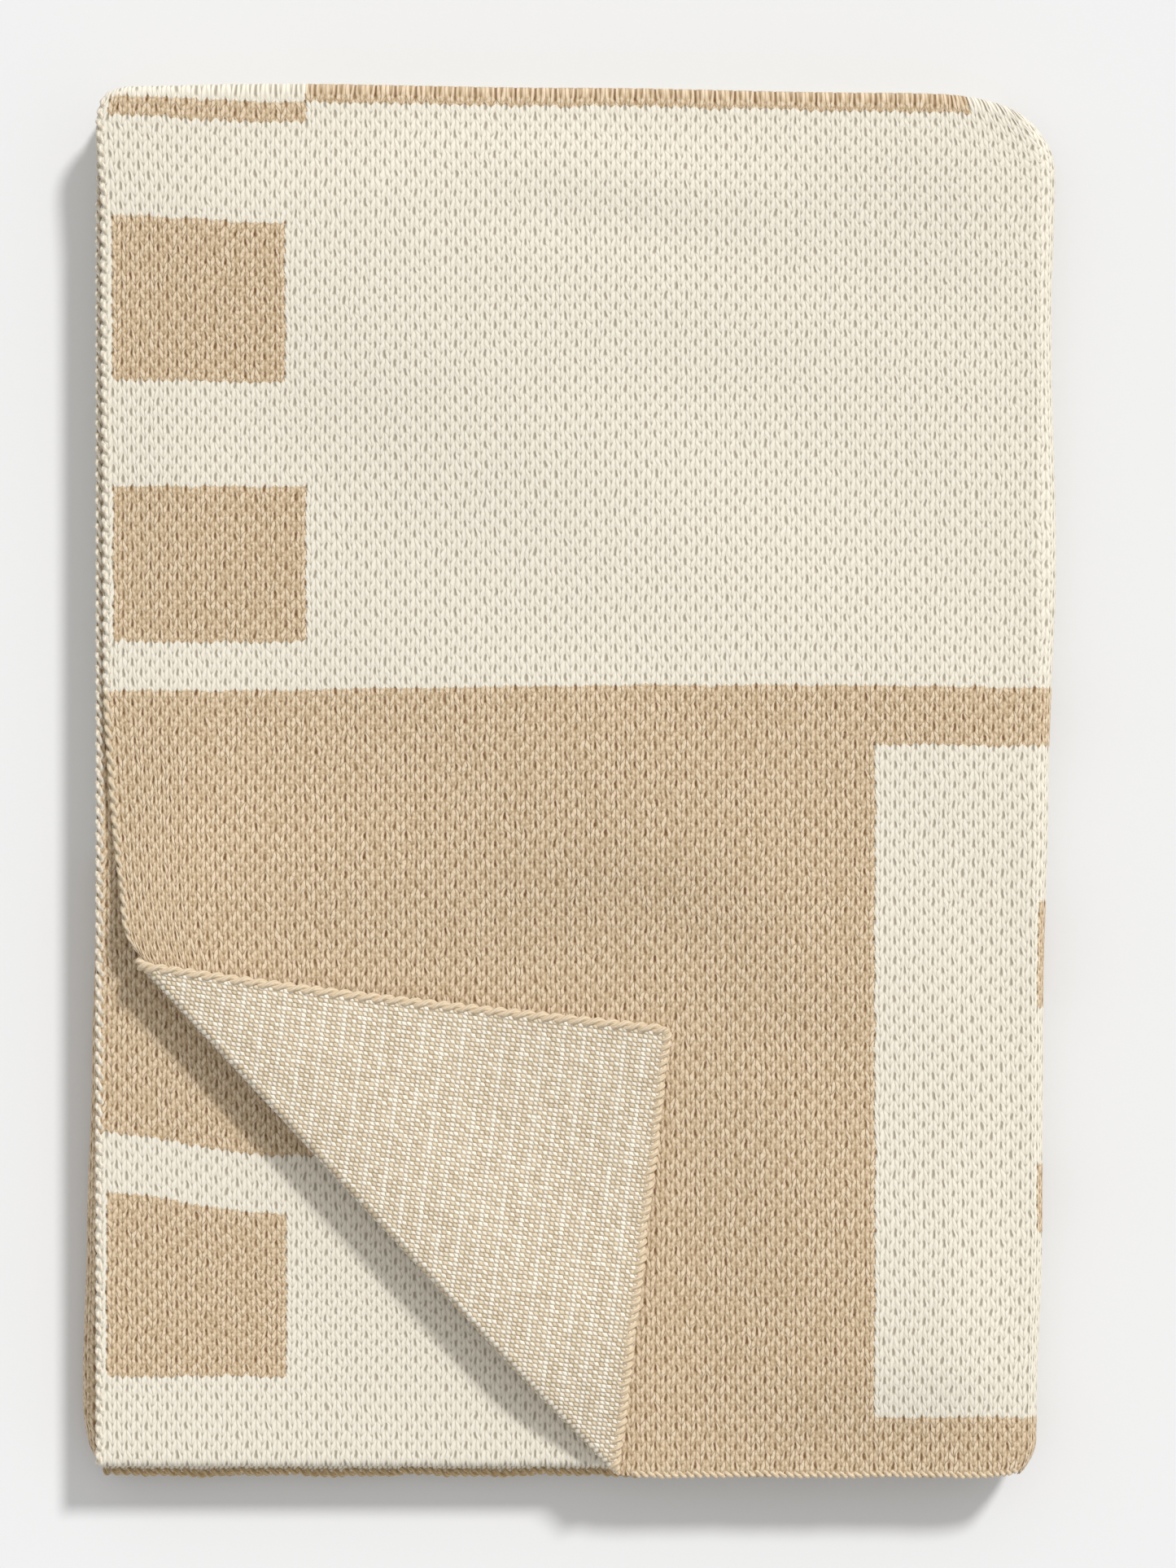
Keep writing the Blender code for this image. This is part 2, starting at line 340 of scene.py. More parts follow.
@dataclass(frozen=True)
class Settling:
    """How the soft stack departs from its frame: slack side folds, rounded corners, gentle swelling."""

    plan: FoldPlan
    cover_floor: float = 0.0214
    fold_ramp: float = 0.10
    top_ramp: tuple[float, float] = (0.20, 0.30)
    lowest: float = 0.0002

    right_knots: tuple[float, ...] = (-0.31, -0.28, -0.20, -0.10, 0.0, 0.10, 0.20, 0.27)
    right_press: tuple[float, ...] = (0.46, 0.50, 0.62, 0.66, 0.80, 1.0, 0.80, 0.95)
    right_shift: tuple[float, ...] = (-0.0036, -0.0035, -0.0022, -0.0022, -0.0012, 0.0, 0.0, 0.0)
    left_knots: tuple[float, ...] = (-0.31, -0.265, -0.20, -0.13, -0.05, 0.02, 0.30)
    left_press: tuple[float, ...] = (1.15, 1.17, 1.0, 0.80, 0.60, 0.50, 0.45)
    top_knots: tuple[float, ...] = (-0.21, -0.13, 0.0, 0.14, 0.18, 0.22)
    top_shift: tuple[float, ...] = (0.0005, 0.0018, 0.0, -0.0022, -0.0030, -0.0030)
    corners: tuple[RoundedCorner, ...] = (
        RoundedCorner(1, 1, (0.0005, 0.0015), (0.052, 0.036)),
        RoundedCorner(-1, 1, (0.0035, -0.0005), (0.018, 0.018)),
        RoundedCorner(1, -1, (0.0086, -0.0010), (0.022, 0.018)),
        RoundedCorner(-1, -1, (-0.0018, 0.0040), (0.011, 0.030), low_only=True),
    )

    # The top swells inside a calm rim, away from the turned corner, in slow waves with two hollows.
    swell: float = 0.0040
    swell_share: float = 0.9
    rim: float = 0.050
    rim_half: tuple[float, float] = (0.214, 0.306)
    calm_from: tuple[float, float] = (0.045, -0.085)
    calm_ramp: float = 0.06
    waves: tuple[tuple[float, float, float, float], ...] = (
        (0.50, 19.0, 7.0, 0.6),
        (0.35, -11.0, 23.0, 1.9),
        (0.16, 43.0, -29.0, 0.0),
        (0.12, 31.0, 47.0, 1.2),
    )
    hollow_depth: float = 0.0022
    hollow_at: tuple[float, float] = (0.01, 0.262)
    hollow_reach: tuple[float, float] = (0.085, 0.020)
    hollow_tilt: float = 0.20
    hollow_pivot: float = -0.05
    dip_depth: float = 0.0015
    dip_at: tuple[float, float] = (0.082, -0.112)
    dip_reach: tuple[float, float] = (0.038, 0.022)
    swell_height: float = 0.034

    def apply(self, x: Array, y: Array, z: Array) -> Array:
        """Moves points of the ideal folded cloth to where soft cloth settles.

        Args:
            x: Ideal X.
            y: Ideal Y.
            z: Ideal Z.

        Returns:
            The settled points, one row each.
        """
        plan = self.plan
        low = z < self.cover_floor
        shift = eased(y, self.right_knots, self.right_shift)
        press = eased(y, self.right_knots, self.right_press)
        ramp = smooth((x - plan.right_bend + self.fold_ramp) / self.fold_ramp)
        settled_x = x + shift * ramp - np.maximum(x - plan.right_bend, 0.0) * (1.0 - press)
        slack = 1.0 - eased(y, self.left_knots, self.left_press)
        settled_x = settled_x + np.maximum(plan.left_bend - x, 0.0) * slack * low
        start, end = self.top_ramp
        near_top = smooth((y - start) / (end - start))
        settled_y = y + eased(x, self.top_knots, self.top_shift) * near_top
        for corner in self.corners:
            settled_x, settled_y = corner.press(settled_x, settled_y, low)
        lift = 1.0 + self.swelling(settled_x, settled_y) / self.swell_height
        return np.column_stack([settled_x, settled_y, np.maximum(z * lift, self.lowest)])

    def swelling(self, x: Array, y: Array) -> Array:
        """How far the top of the stack stands above its frame.

        Args:
            x: X.
            y: Y.

        Returns:
            The height, zero round the rim and at the turned corner.
        """
        rim = smooth((self.rim_half[0] - np.abs(x)) / self.rim)
        rim = rim * smooth((self.rim_half[1] - np.abs(y)) / self.rim)
        right = smooth((x - self.calm_from[0]) / self.calm_ramp)
        above = smooth((y - self.calm_from[1]) / self.calm_ramp)
        height = self.swell_share
        for size, per_x, per_y, phase in self.waves:
            height = height + size * np.sin(per_x * x + per_y * y + phase)
        line = (y - self.hollow_at[1]) + self.hollow_tilt * (x - self.hollow_pivot)
        hollow = np.exp(-((line / self.hollow_reach[1]) ** 2))
        hollow = hollow * np.exp(-(((x - self.hollow_at[0]) / self.hollow_reach[0]) ** 2))
        dip_x = (x - self.dip_at[0]) / self.dip_reach[0]
        dip_y = (y - self.dip_at[1]) / self.dip_reach[1]
        height = self.swell * height - self.hollow_depth * hollow
        height = height - self.dip_depth * np.exp(-(dip_x**2) - dip_y**2)
        return rim * (1.0 - (1.0 - right) * (1.0 - above)) * height


@dataclass(frozen=True)
class Corner:
    """The corner of the top ply that is turned back, and the ease of the cloth beside it."""

    plan: FoldPlan
    settling: Settling
    start: Vector
    along: Vector
    tip: tuple[float, float]
    drawn_in: float = 0.0294
    flat_drop: float = 0.0212
    ease_reach: float = 0.016
    roll_radius: float = 0.0019
    crest_above_axis: float = 0.0040
    foot_fall: float = 0.24
    ply_rise: float = 0.050
    head_rise: float = 0.024
    corner_rise: float = 0.068
    sag: float = 0.0022
    crease_length: float = 0.33
    inset_knots: tuple[float, ...] = (-0.32, -0.10, -0.03, 0.05, 0.25, 0.30)
    insets: tuple[float, ...] = (0.0045, 0.0045, 0.0062, 0.0036, 0.0026, 0.0004)
    inset_reach: tuple[float, float] = (0.05, 0.022)

    @classmethod
    def from_frame(cls, plan: FoldPlan, settling: Settling) -> "Corner":
        """Reads the crease from the joint that turns the corner, and the tip from the corner's edge.

        Args:
            plan: The fold plan.
            settling: The settling of the stack.

        Returns:
            The corner.
        """
        joint = next(j for j in frame["joints"] if j["name"] == "corner_turn")
        low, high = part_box("corner_selvedge")
        # The frame's corner is cut a little shorter than the cloth's.
        tip = (high.x + 0.00178, low.y - 0.00148)
        return cls(plan, settling, Vector(joint["pos_m"]), Vector(joint["axis"]), tip)

    @property
    def foot(self) -> Array:
        """Where the crease meets the hem."""
        run = (self.plan.cover_hem - self.start.y) / self.along.y
        return np.array([self.start.x + run * self.along.x, self.plan.cover_hem])

    @property
    def head(self) -> Array:
        """Where the selvedge turns over the crease."""
        return np.array(self.start.xy) + np.array(self.along.xy) * self.drawn_in

    @property
    def flat_head(self) -> Array:
        """The same point of the selvedge on the flat cloth."""
        return np.array([self.plan.cover_left, self.start.y - self.flat_drop])

    @property
    def flat_along(self) -> Array:
        """Direction of the crease on the flat cloth."""
        run = self.foot - self.flat_head
        return run / np.linalg.norm(run)

    @property
    def flat_out(self) -> Array:
        """Direction across the crease on the flat cloth, towards the corner."""
        return np.array([self.flat_along[1], -self.flat_along[0]])

    @property
    def roll(self) -> float:
        """Cloth used by the half turn of the crease."""
        return math.pi * self.roll_radius

    @property
    def ply_top(self) -> float:
        """Height of the middle of the top ply."""
        return self.plan.cover_mid + self.plan.pitch

    @property
    def crest(self) -> float:
        """Height of the middle of the crease along most of its length."""
        return self.start.z + self.crest_above_axis

    def crease_distance(self, x: Array, y: Array) -> Array:
        """Distance past the crease on the flat cloth, positive on the corner."""
        return (x - self.flat_head[0]) * self.flat_out[0] + (y - self.flat_head[1]) * self.flat_out[1]

    def crease_share(self, x: Array, y: Array) -> Array:
        """Share of the crease's length from its head, on the flat cloth."""
        run = (x - self.flat_head[0]) * self.flat_along[0] + (y - self.flat_head[1]) * self.flat_along[1]
        return run / np.linalg.norm(self.foot - self.flat_head)

    def crest_height(self, share: Array) -> Array:
        """Height of the middle of the crease, which comes down to the hem at its foot."""
        low = self.ply_top + self.roll_radius
        return low + (self.crest - low) * smooth((1.0 - share) / self.foot_fall)

    def ease(self, x: Array, y: Array) -> tuple[Array, Array, Array]:
        """Draws the cloth beside the crease along it and lifts it, so that the selvedge curves into it.

        Args:
            x: X of the top ply.
            y: Y of the top ply.

        Returns:
            X and Y after, and the rise.
        """
        past = self.crease_distance(x, y)
        share = self.crease_share(x, y)
        pull = np.clip(1.0 - share, 0.0, 1.0) * np.exp(np.minimum(past, 0.0) / self.ease_reach)
        move = self.head - self.flat_head
        from_side, from_crease = self.inset_reach
        inset = eased(y, self.inset_knots, self.insets)
        inset = inset * (1.0 - smooth((x - self.plan.cover_left) / from_side)) * smooth(-past / from_crease)
        before = np.exp(-((np.minimum(share, 0.0) * self.crease_length / self.head_rise) ** 2))
        rise = (self.crest_height(share) - self.roll_radius - self.ply_top) * before
        rise = rise * np.exp(-((np.minimum(past, 0.0) / self.ply_rise) ** 2))
        return x + move[0] * pull + inset, y + move[1] * pull, rise

    def place(self, x: Array, v: Array, h: Array) -> Array:
        """Lays cloth past the crease round its roll and back over the top ply.

        Args:
            x: X on the flat top ply.
            v: Cloth length from the hem.
            h: Height towards the knit face, which lies inside the fold.

        Returns:
            The settled points.
        """
        y = self.plan.cover_hem + v
        past = np.maximum(self.crease_distance(x, y), 0.0)
        share = self.crease_share(x, y)
        line = self.foot - self.head
        out = np.array([line[1], -line[0]]) / np.linalg.norm(line)
        angle = np.minimum(past / self.roll_radius, math.pi)
        radius = self.roll_radius - h
        beyond = np.maximum(past - self.roll, 0.0)
        point = (self.plan.cover_left, self.plan.cover_hem)
        tip_past = float(self.crease_distance(*point)) - self.roll
        way = (np.array(self.tip) - self.head - float(self.crease_share(*point)) * line) / tip_past
        flat = self.head + np.outer(share, line) + np.outer(beyond, way)
        flat = flat + np.outer(radius * np.sin(angle), out)
        # The corner's free side sags a little between the crease and the tip.
        bow = np.sin(math.pi * np.clip(beyond / tip_past, 0.0, 1.0))
        flat[:, 1] -= self.sag * bow * np.clip(1.0 - share, 0.0, 1.0)
        middle = self.crest_height(np.clip(share, 0.0, 1.0))
        rest = self.ply_top + self.plan.pitch
        fall = (middle + self.roll_radius - rest) * np.exp(-((beyond / self.corner_rise) ** 2))
        z = np.where(past < self.roll, middle - radius * np.cos(angle), rest + fall - h)
        return self.settling.apply(flat[:, 0], flat[:, 1], z)


@dataclass(frozen=True)
class Folding:
    """The whole map from flat cloth to the settled stack."""

    plan: FoldPlan
    settling: Settling
    corner: Corner

    def place(self, region: Region, c: Array, v: Array, h: Array) -> Array:
        """Lays cloth in one region of the width.

        Args:
            region: The stretch of the width.
            c: Position within it, as for FoldPlan.across_width.
            v: Cloth length from the cover's hem.
            h: Height off the ply's middle, towards the knit face.

        Returns:
            The settled points.
        """
        y, d = self.plan.along_length(v, h)
        x, z = self.plan.across_width(region, c, d)
        if region is Region.COVER:
            eased_x, eased_y, rise = self.corner.ease(x, y)
            top = v <= self.plan.upper_end
            x, y, z = np.where(top, eased_x, x), np.where(top, eased_y, y), z + np.where(top, rise, 0.0)
        return self.settling.apply(x, y, z)

    def placer(self, region: Region) -> Place:
        """The map for one region of the width."""
        return partial(self.place, region)


@dataclass(frozen=True)
class Relief:
    """Height of the yarn on the face and the reverse of the cloth, on the same stitch grid as the finish."""

    wale: float
    course: float
    leg: float = 0.00016
    slit: float = 0.00030
    bump: float = 0.00026

    def face(self, u: Array, v: Array) -> Array:
        """Relief of the V stitches.

        Args:
            u: Distance across the cloth.
            v: Cloth length.

        Returns:
            The height off the ply.
        """
        a, b = u / self.wale, v / self.course
        off = np.abs((a % 1.0) - 0.5) * 2.0
        across = np.sin(math.pi * ((b - LEG_SLOPE * off) % 1.0))
        leg = np.sin(math.pi * off) * (0.55 + 0.45 * across)
        edge = np.floor(a + 0.5)
        beat = np.abs(((b * 0.5 + edge * 0.5) % 1.0) - 0.5)
        slit = smooth((off - 0.6) / 0.4) * smooth((0.30 - beat) / 0.14)
        return self.leg * leg - self.slit * slit

    def reverse(self, u: Array, v: Array) -> Array:
        """Relief of the purl bumps, two rows to a wale."""
        a, b = u / self.wale, v / self.course
        return self.bump * np.sin(math.pi * ((2 * a) % 1.0)) * np.sin(math.pi * ((2 * b) % 1.0))


@dataclass(frozen=True)
class Skew:
    """How knitting and handling have drawn the pattern's courses askew.

    Each pair gives where along the cloth a change starts and over what length it happens.
    """

    inner_start: float
    top: float = 0.0046
    top_across: float = 0.08
    top_from: tuple[float, float] = (0.44, 0.11)
    top_until: tuple[float, float] = (0.6075, 0.008)
    tucked: float = 0.0100
    tucked_across: float = 0.085
    tucked_from: tuple[float, float] = (0.030, 0.075)
    tucked_until: tuple[float, float] = (0.26, 0.05)
    wave: float = 0.0012
    wave_across: tuple[float, float] = (13.0, 1.0)
    wave_from: tuple[float, float] = (0.05, 0.1)
    wave_until: tuple[float, float] = (0.55, 0.04)

    def length_of(self, u: Array, v: Array) -> Array:
        """The length at which a point reads the pattern.

        Args:
            u: Distance across the cloth.
            v: Cloth length from the cover's hem.

        Returns:
            The length to read the pattern at.
        """

        def between(at: Array, first: tuple[float, float], last: tuple[float, float]) -> Array:
            """1 between two changes, 0 outside them."""
            return smooth((at - first[0]) / first[1]) * (1.0 - smooth((at - last[0]) / last[1]))

        top = self.top * smooth(u / self.top_across) * between(v, self.top_from, self.top_until)
        wave = self.wave * np.sin(self.wave_across[0] * u + self.wave_across[1])
        wave = wave * between(v, self.wave_from, self.wave_until)
        beyond = v - self.inner_start
        tucked = self.tucked * smooth(u / self.tucked_across)
        tucked = tucked * between(beyond, self.tucked_from, self.tucked_until)
        return v + top + wave + np.where(beyond > 0.0, tucked, 0.0)


def srgb(code: str) -> tuple[float, float, float, float]:
    """Linear colour of an sRGB hex value.

    Args:
        code: The value, as #RRGGBB.

    Returns:
        Red, green, blue and full alpha.
    """
    parts = [int(code[i : i + 2], 16) / 255 for i in (1, 3, 5)]
    red, green, blue = (p / 12.92 if p <= 0.04045 else ((p + 0.055) / 1.055) ** 2.4 for p in parts)
    return red, green, blue, 1.0


def add_node(
    tree: bpy.types.NodeTree,
    kind: str,
    *values: Value,
    output: int | str = 0,
    inputs: dict[int | str, Value] | None = None,
    **settings: object,
) -> Socket:
    """Adds a shader node with its options and its links.

    Args:
        tree: The material's node tree.
        kind: Node type without its ShaderNode prefix, then its operation if it has one.
        *values: Value or socket for each input in turn.
        output: The output that is wanted.
        inputs: Value or socket for inputs by index or name.
        **settings: The node's own options.

    Returns:
        The wanted output socket.
    """
    name, _, operation = kind.partition(" ")
    node = tree.nodes.new(f"ShaderNode{name}")
    if operation:
        node.operation = operation
    for key, value in settings.items():
        setattr(node, key, value)
    for key, value in [*enumerate(values), *(inputs or {}).items()]:
        if isinstance(value, Socket):
            tree.links.new(value, node.inputs[key])
        else:
            node.inputs[key].default_value = value
    return node.outputs[output]


@dataclass(frozen=True)
class Block:
    """A rectangle of camel in the cloth, in metres of flat cloth."""

    left: float
    right: float
    low: float
    high: float


# The design: squares along the side, a stripe at the top fold and one large field with a cream inset.
CAMEL_BLOCKS = (
    Block(0.0052, 0.0850, 0.4860, 0.5592),
    Block(0.0046, 0.0917, 0.3682, 0.4393),
    Block(0.0040, 0.0928, 0.6030, 0.6076),
    Block(0.0928, 0.3900, 0.6090, 0.8000),
    Block(-0.02, 0.3455, -0.02, 0.3480),
    Block(0.3455, 0.9300, 0.3227, 0.3480),
    Block(0.3455, 0.9300, -0.02, 0.0285),
    Block(0.4186, 0.4800, 0.2043, 0.2527),
    Block(0.4186, 0.4800, 0.1074, 0.1380),
    Block(-0.02, 0.4200, 1.3727, 1.8000),
    Block(0.0045, 0.0835, 1.2665, 1.3461),
    Block(0.8200, 0.9300, 0.9550, 1.3000),
    Block(0.5200, 0.7400, 0.7400, 1.0200),
    Block(0.9900, 1.1800, 0.3700, 0.5600),
)


@dataclass(frozen=True)
class YarnFinish:
    """What every yarn finish shares: matt cotton-blend fibre with a faint nap."""

    name: str
    roughness: float = 0.92
    specular: float = 0.25
    sheen: float = 0.12
    nap_roughness: float = 0.5

    def build(self) -> bpy.types.Material:
        """Makes the material.

        Returns:
            The material.
        """
        material = bpy.data.materials.new(self.name)
        material.use_nodes = True
        tree = material.node_tree
        shader = tree.nodes["Principled BSDF"]
        color, normal = self.draw(partial(add_node, tree))
        tree.links.new(color, shader.inputs["Base Color"])
        tree.links.new(normal, shader.inputs["Normal"])
        shader.inputs["Roughness"].default_value = self.roughness
        shader.inputs["Specular IOR Level"].default_value = self.specular
        shader.inputs["Sheen Weight"].default_value = self.sheen
        shader.inputs["Sheen Roughness"].default_value = self.nap_roughness
        return material

    def draw(self, add: Callable[..., Socket]) -> tuple[Socket, Socket]:
        """Draws the yarn's colour and relief.

        Args:
            add: Adds a node to the material's tree.

        Returns:
            The colour and the normal.
        """
        raise NotImplementedError


@dataclass(frozen=True)
class KnitFace(YarnFinish):
    """Double-jacquard face in cotton-blend yarn: matt, with V stitches, open slits between the wales and
    blocks of two colours. The camel is a melange. Light and shade are painted into the colour: each leg
    is lighter along its middle and shaded at its sides, its twist is bumped and painted as light and dark
    stripes, and the slits and pockets are painted dark as shade."""

    name: str = "jacquard_knit_face"
    wale: float = 0.0044
    course: float = 0.0043
    # cream and camel are the lit colours of the yarn; the next pair is painted shade for the sides of the legs, the
    # last pair painted shade for the openings.
    cream: str = "#ECE6D7"
    cream_in_shade: str = "#D3CAB8"
    cream_hole_shade: str = "#9C917E"
    camel: str = "#E0CBAF"
    camel_in_shade: str = "#AE9570"
    camel_hole_shade: str = "#74512C"
    relief: float = 0.00045
    serration: float = 0.30

    def draw(self, add: Callable[..., Socket]) -> tuple[Socket, Socket]:
        """Draws the V stitches and the blocks of colour.

        Args:
            add: Adds a node to the material's tree.

        Returns:
            The colour and the normal.
        """
        cloth = add("UVMap", uv_map=CLOTH_MAP)
        stitches = add("VectorMath MULTIPLY", cloth, (1 / self.wale, 1 / self.course, 0.0))
        # Knitting is never quite even: stitches wander by about 0.4 mm over a few centimetres.
        drift = add("TexNoise", inputs={"Vector": cloth, "Scale": 60.0, "Detail": 2.0}, output="Color")
        jitter = add("TexNoise", inputs={"Vector": cloth, "Scale": 260.0, "Detail": 1.0}, output="Color")
        drift = add("VectorMath SUBTRACT", drift, (0.5, 0.5, 0.5))
        jitter = add("VectorMath SUBTRACT", jitter, (0.5, 0.5, 0.5))
        wandered = add("VectorMath MULTIPLY_ADD", drift, (0.5, 0.6, 0.0), stitches)
        wandered = add("VectorMath MULTIPLY_ADD", jitter, (0.34, 0.42, 0.0), wandered)
        a = add("SeparateXYZ", wandered, output=0)
        b = add("SeparateXYZ", wandered, output=1)

        # Distance from the middle of the wale, 0 to 1, and the chevron that each course draws.
        off = add("Math ABSOLUTE", add("Math SUBTRACT", add("Math FRACT", a), 0.5))
        off = add("Math MULTIPLY", off, 2.0)
        chevron = add("Math MULTIPLY_ADD", off, -LEG_SLOPE, b)
        across = add("Math FRACT", chevron)
        side_round = add("Math SINE", add("Math MULTIPLY", off, math.pi))
        yarn_round = add("Math SINE", add("Math MULTIPLY", across, math.pi))
        lens = add("Math MULTIPLY", side_round, yarn_round)
        ridge = add("Math MULTIPLY_ADD", yarn_round, 0.50, 0.50)
        leg = add("Math MULTIPLY", add("Math POWER", side_round, 0.4), ridge)

        # Slits between wales span two courses and alternate from one wale to the next.
        edge = add("Math FLOOR", add("Math ADD", a, 0.5))
        beat = add("Math FRACT", add("Math MULTIPLY", add("Math ADD", b, edge), 0.5))
        beat = add("Math ABSOLUTE", add("Math SUBTRACT", beat, 0.5))
        at_edge = add("MapRange", off, 0.60, 0.90, interpolation_type="SMOOTHSTEP")
        in_beat = add("MapRange", beat, 0.29, 0.11, interpolation_type="SMOOTHSTEP")
        slit = add("Math MULTIPLY", at_edge, in_beat)
        between = add("Math ABSOLUTE", add("Math SUBTRACT", across, 0.5))
        at_middle = add("MapRange", off, 0.36, 0.06, interpolation_type="SMOOTHSTEP")
        in_gap = add("MapRange", between, 0.26, 0.46, interpolation_type="SMOOTHSTEP")
        pin = add("Math MULTIPLY", at_middle, in_gap)
        camel = self.blocks(add, a, b, off)

        # Each leg of each stitch has its own depth of colour.
        half_wale = add("Math FLOOR", add("Math MULTIPLY", a, 2.0))
        own = add("CombineXYZ", half_wale, add("Math FLOOR", chevron))
        chance = add("TexWhiteNoise", own, noise_dimensions="2D")
        # Plied yarn: twist lines slant across each leg, over fibres half as wide. The twist is bumped and also
        # painted into the tone as highlight and shade stripes.
        twist = add("Math SINE", add("Math MULTIPLY_ADD", off, 12.0, add("Math MULTIPLY", across, 9.0)))
        fine = {"Vector": cloth, "Scale": 900.0, "Detail": 2.0, "Roughness": 0.7}
        fibre = add("TexNoise", inputs=fine)
        blotch = {"Vector": cloth, "Scale": 520.0, "Detail": 3.0, "Roughness": 0.75}
        melange = add("TexNoise", inputs=blotch)

        twisted = add("Math MULTIPLY", twist, add("Math MULTIPLY_ADD", camel, 0.11, 0.04))
        # Painted shade and highlight: the tone runs from the shaded colour at each leg's sides to the lit colour
        # along its middle, with the painted twist stripes on top.
        tone = add("Math MULTIPLY_ADD", leg, 0.80, add("Math ADD", twisted, 0.04))
        spread = add("Math MULTIPLY_ADD", camel, 0.82, 0.18)
        for source, share in ((chance, 0.42), (melange, 1.7), (fibre, 1.1)):
            swing = add("Math MULTIPLY", spread, share)
            tone = add("Math MULTIPLY_ADD", add("Math SUBTRACT", source, 0.5), swing, tone)
        # Cream opens evenly; camel opens in pockets of uneven depth, and here and there between courses. Each
        # opening is sunk in the relief and painted dark as shade.
        uneven = add("Math MULTIPLY_ADD", chance, 0.35, -0.15)
        uneven = add("Math MULTIPLY_ADD", melange, 1.5, uneven)
        open_here = add("Math MULTIPLY_ADD", camel, add("Math SUBTRACT", uneven, 0.80), 0.80)
        opening_shade = add("Math MAXIMUM", slit, add("Math MULTIPLY", pin, 0.72))
        opening_shade = add("Math MULTIPLY", opening_shade, open_here)
        thin = add("MapRange", lens, 0.22, 0.0, interpolation_type="SMOOTHSTEP")
        seldom = add("MapRange", chance, 0.45, 0.80, interpolation_type="SMOOTHSTEP")
        pocket = add("Math MULTIPLY", thin, seldom)
        pocket = add("Math MULTIPLY", pocket, add("Math MULTIPLY_ADD", camel, 0.44, 0.06))
        opening_shade = add("Math MAXIMUM", opening_shade, pocket)

        # Each pair runs from cream to camel: the lit colours, the painted shade for the sides of the legs, and the
        # painted shade for the openings.
        mixed = []
        for cream, other in (
            (self.cream, self.camel),
            (self.cream_in_shade, self.camel_in_shade),
            (self.cream_hole_shade, self.camel_hole_shade),
        ):
            pair = {0: camel, 6: srgb(cream), 7: srgb(other)}
            mixed.append(add("Mix", inputs=pair, output=2, data_type="RGBA"))
        light, shade, dark_shade = mixed
        yarn = add("Mix", inputs={0: tone, 6: shade, 7: light}, output=2, data_type="RGBA")
        # Painted shade: where the yarn opens, the colour is mixed towards the dark shade colour.
        color = add("Mix", inputs={0: opening_shade, 6: yarn, 7: dark_shade}, output=2, data_type="RGBA")

        height = add("Math MULTIPLY_ADD", leg, 0.62, add("Math MULTIPLY", opening_shade, -0.55))
        height = add("Math MULTIPLY_ADD", fibre, 0.16, height)
        height = add("Math MULTIPLY_ADD", twisted, 0.7, height)
        relief = {"Strength": 1.0, "Distance": self.relief, "Height": height}
        return color, add("Bump", inputs=relief)

    def blocks(self, add: Callable[..., Socket], a: Socket, b: Socket, off: Socket) -> Socket:
        """Which stitch a point belongs to decides its colour, so that blocks end stitch by stitch.

        Args:
            add: Adds a node to the material's tree.
            a: Position across the cloth, in wales.
            b: Position along the cloth, in courses.
            off: Distance from the middle of the wale, 0 to 1.

        Returns:
            1 on camel, 0 on cream.
        """
        wobble = add("Math MULTIPLY", add("Math SUBTRACT", add("Math FRACT", b), 0.5), 0.25)
        column = add("Math ADD", add("Math FLOOR", add("Math ADD", a, wobble)), 0.5)
        column = add("Math MULTIPLY", column, self.wale)
        row = add("Math FLOOR", add("Math MULTIPLY_ADD", off, -self.serration, b))
        row = add("Math MULTIPLY", add("Math ADD", row, 0.5 + self.serration / 2), self.course)
        camel = None
        for block in CAMEL_BLOCKS:
            middle, reach = (block.left + block.right) / 2, (block.right - block.left) / 2
            sides = add("Math COMPARE", column, middle, reach)
            middle, reach = (block.low + block.high) / 2, (block.high - block.low) / 2
            ends = add("Math COMPARE", row, middle, reach)
            inside = add("Math MULTIPLY", sides, ends)
            camel = inside if camel is None else add("Math MAXIMUM", camel, inside)
        return camel


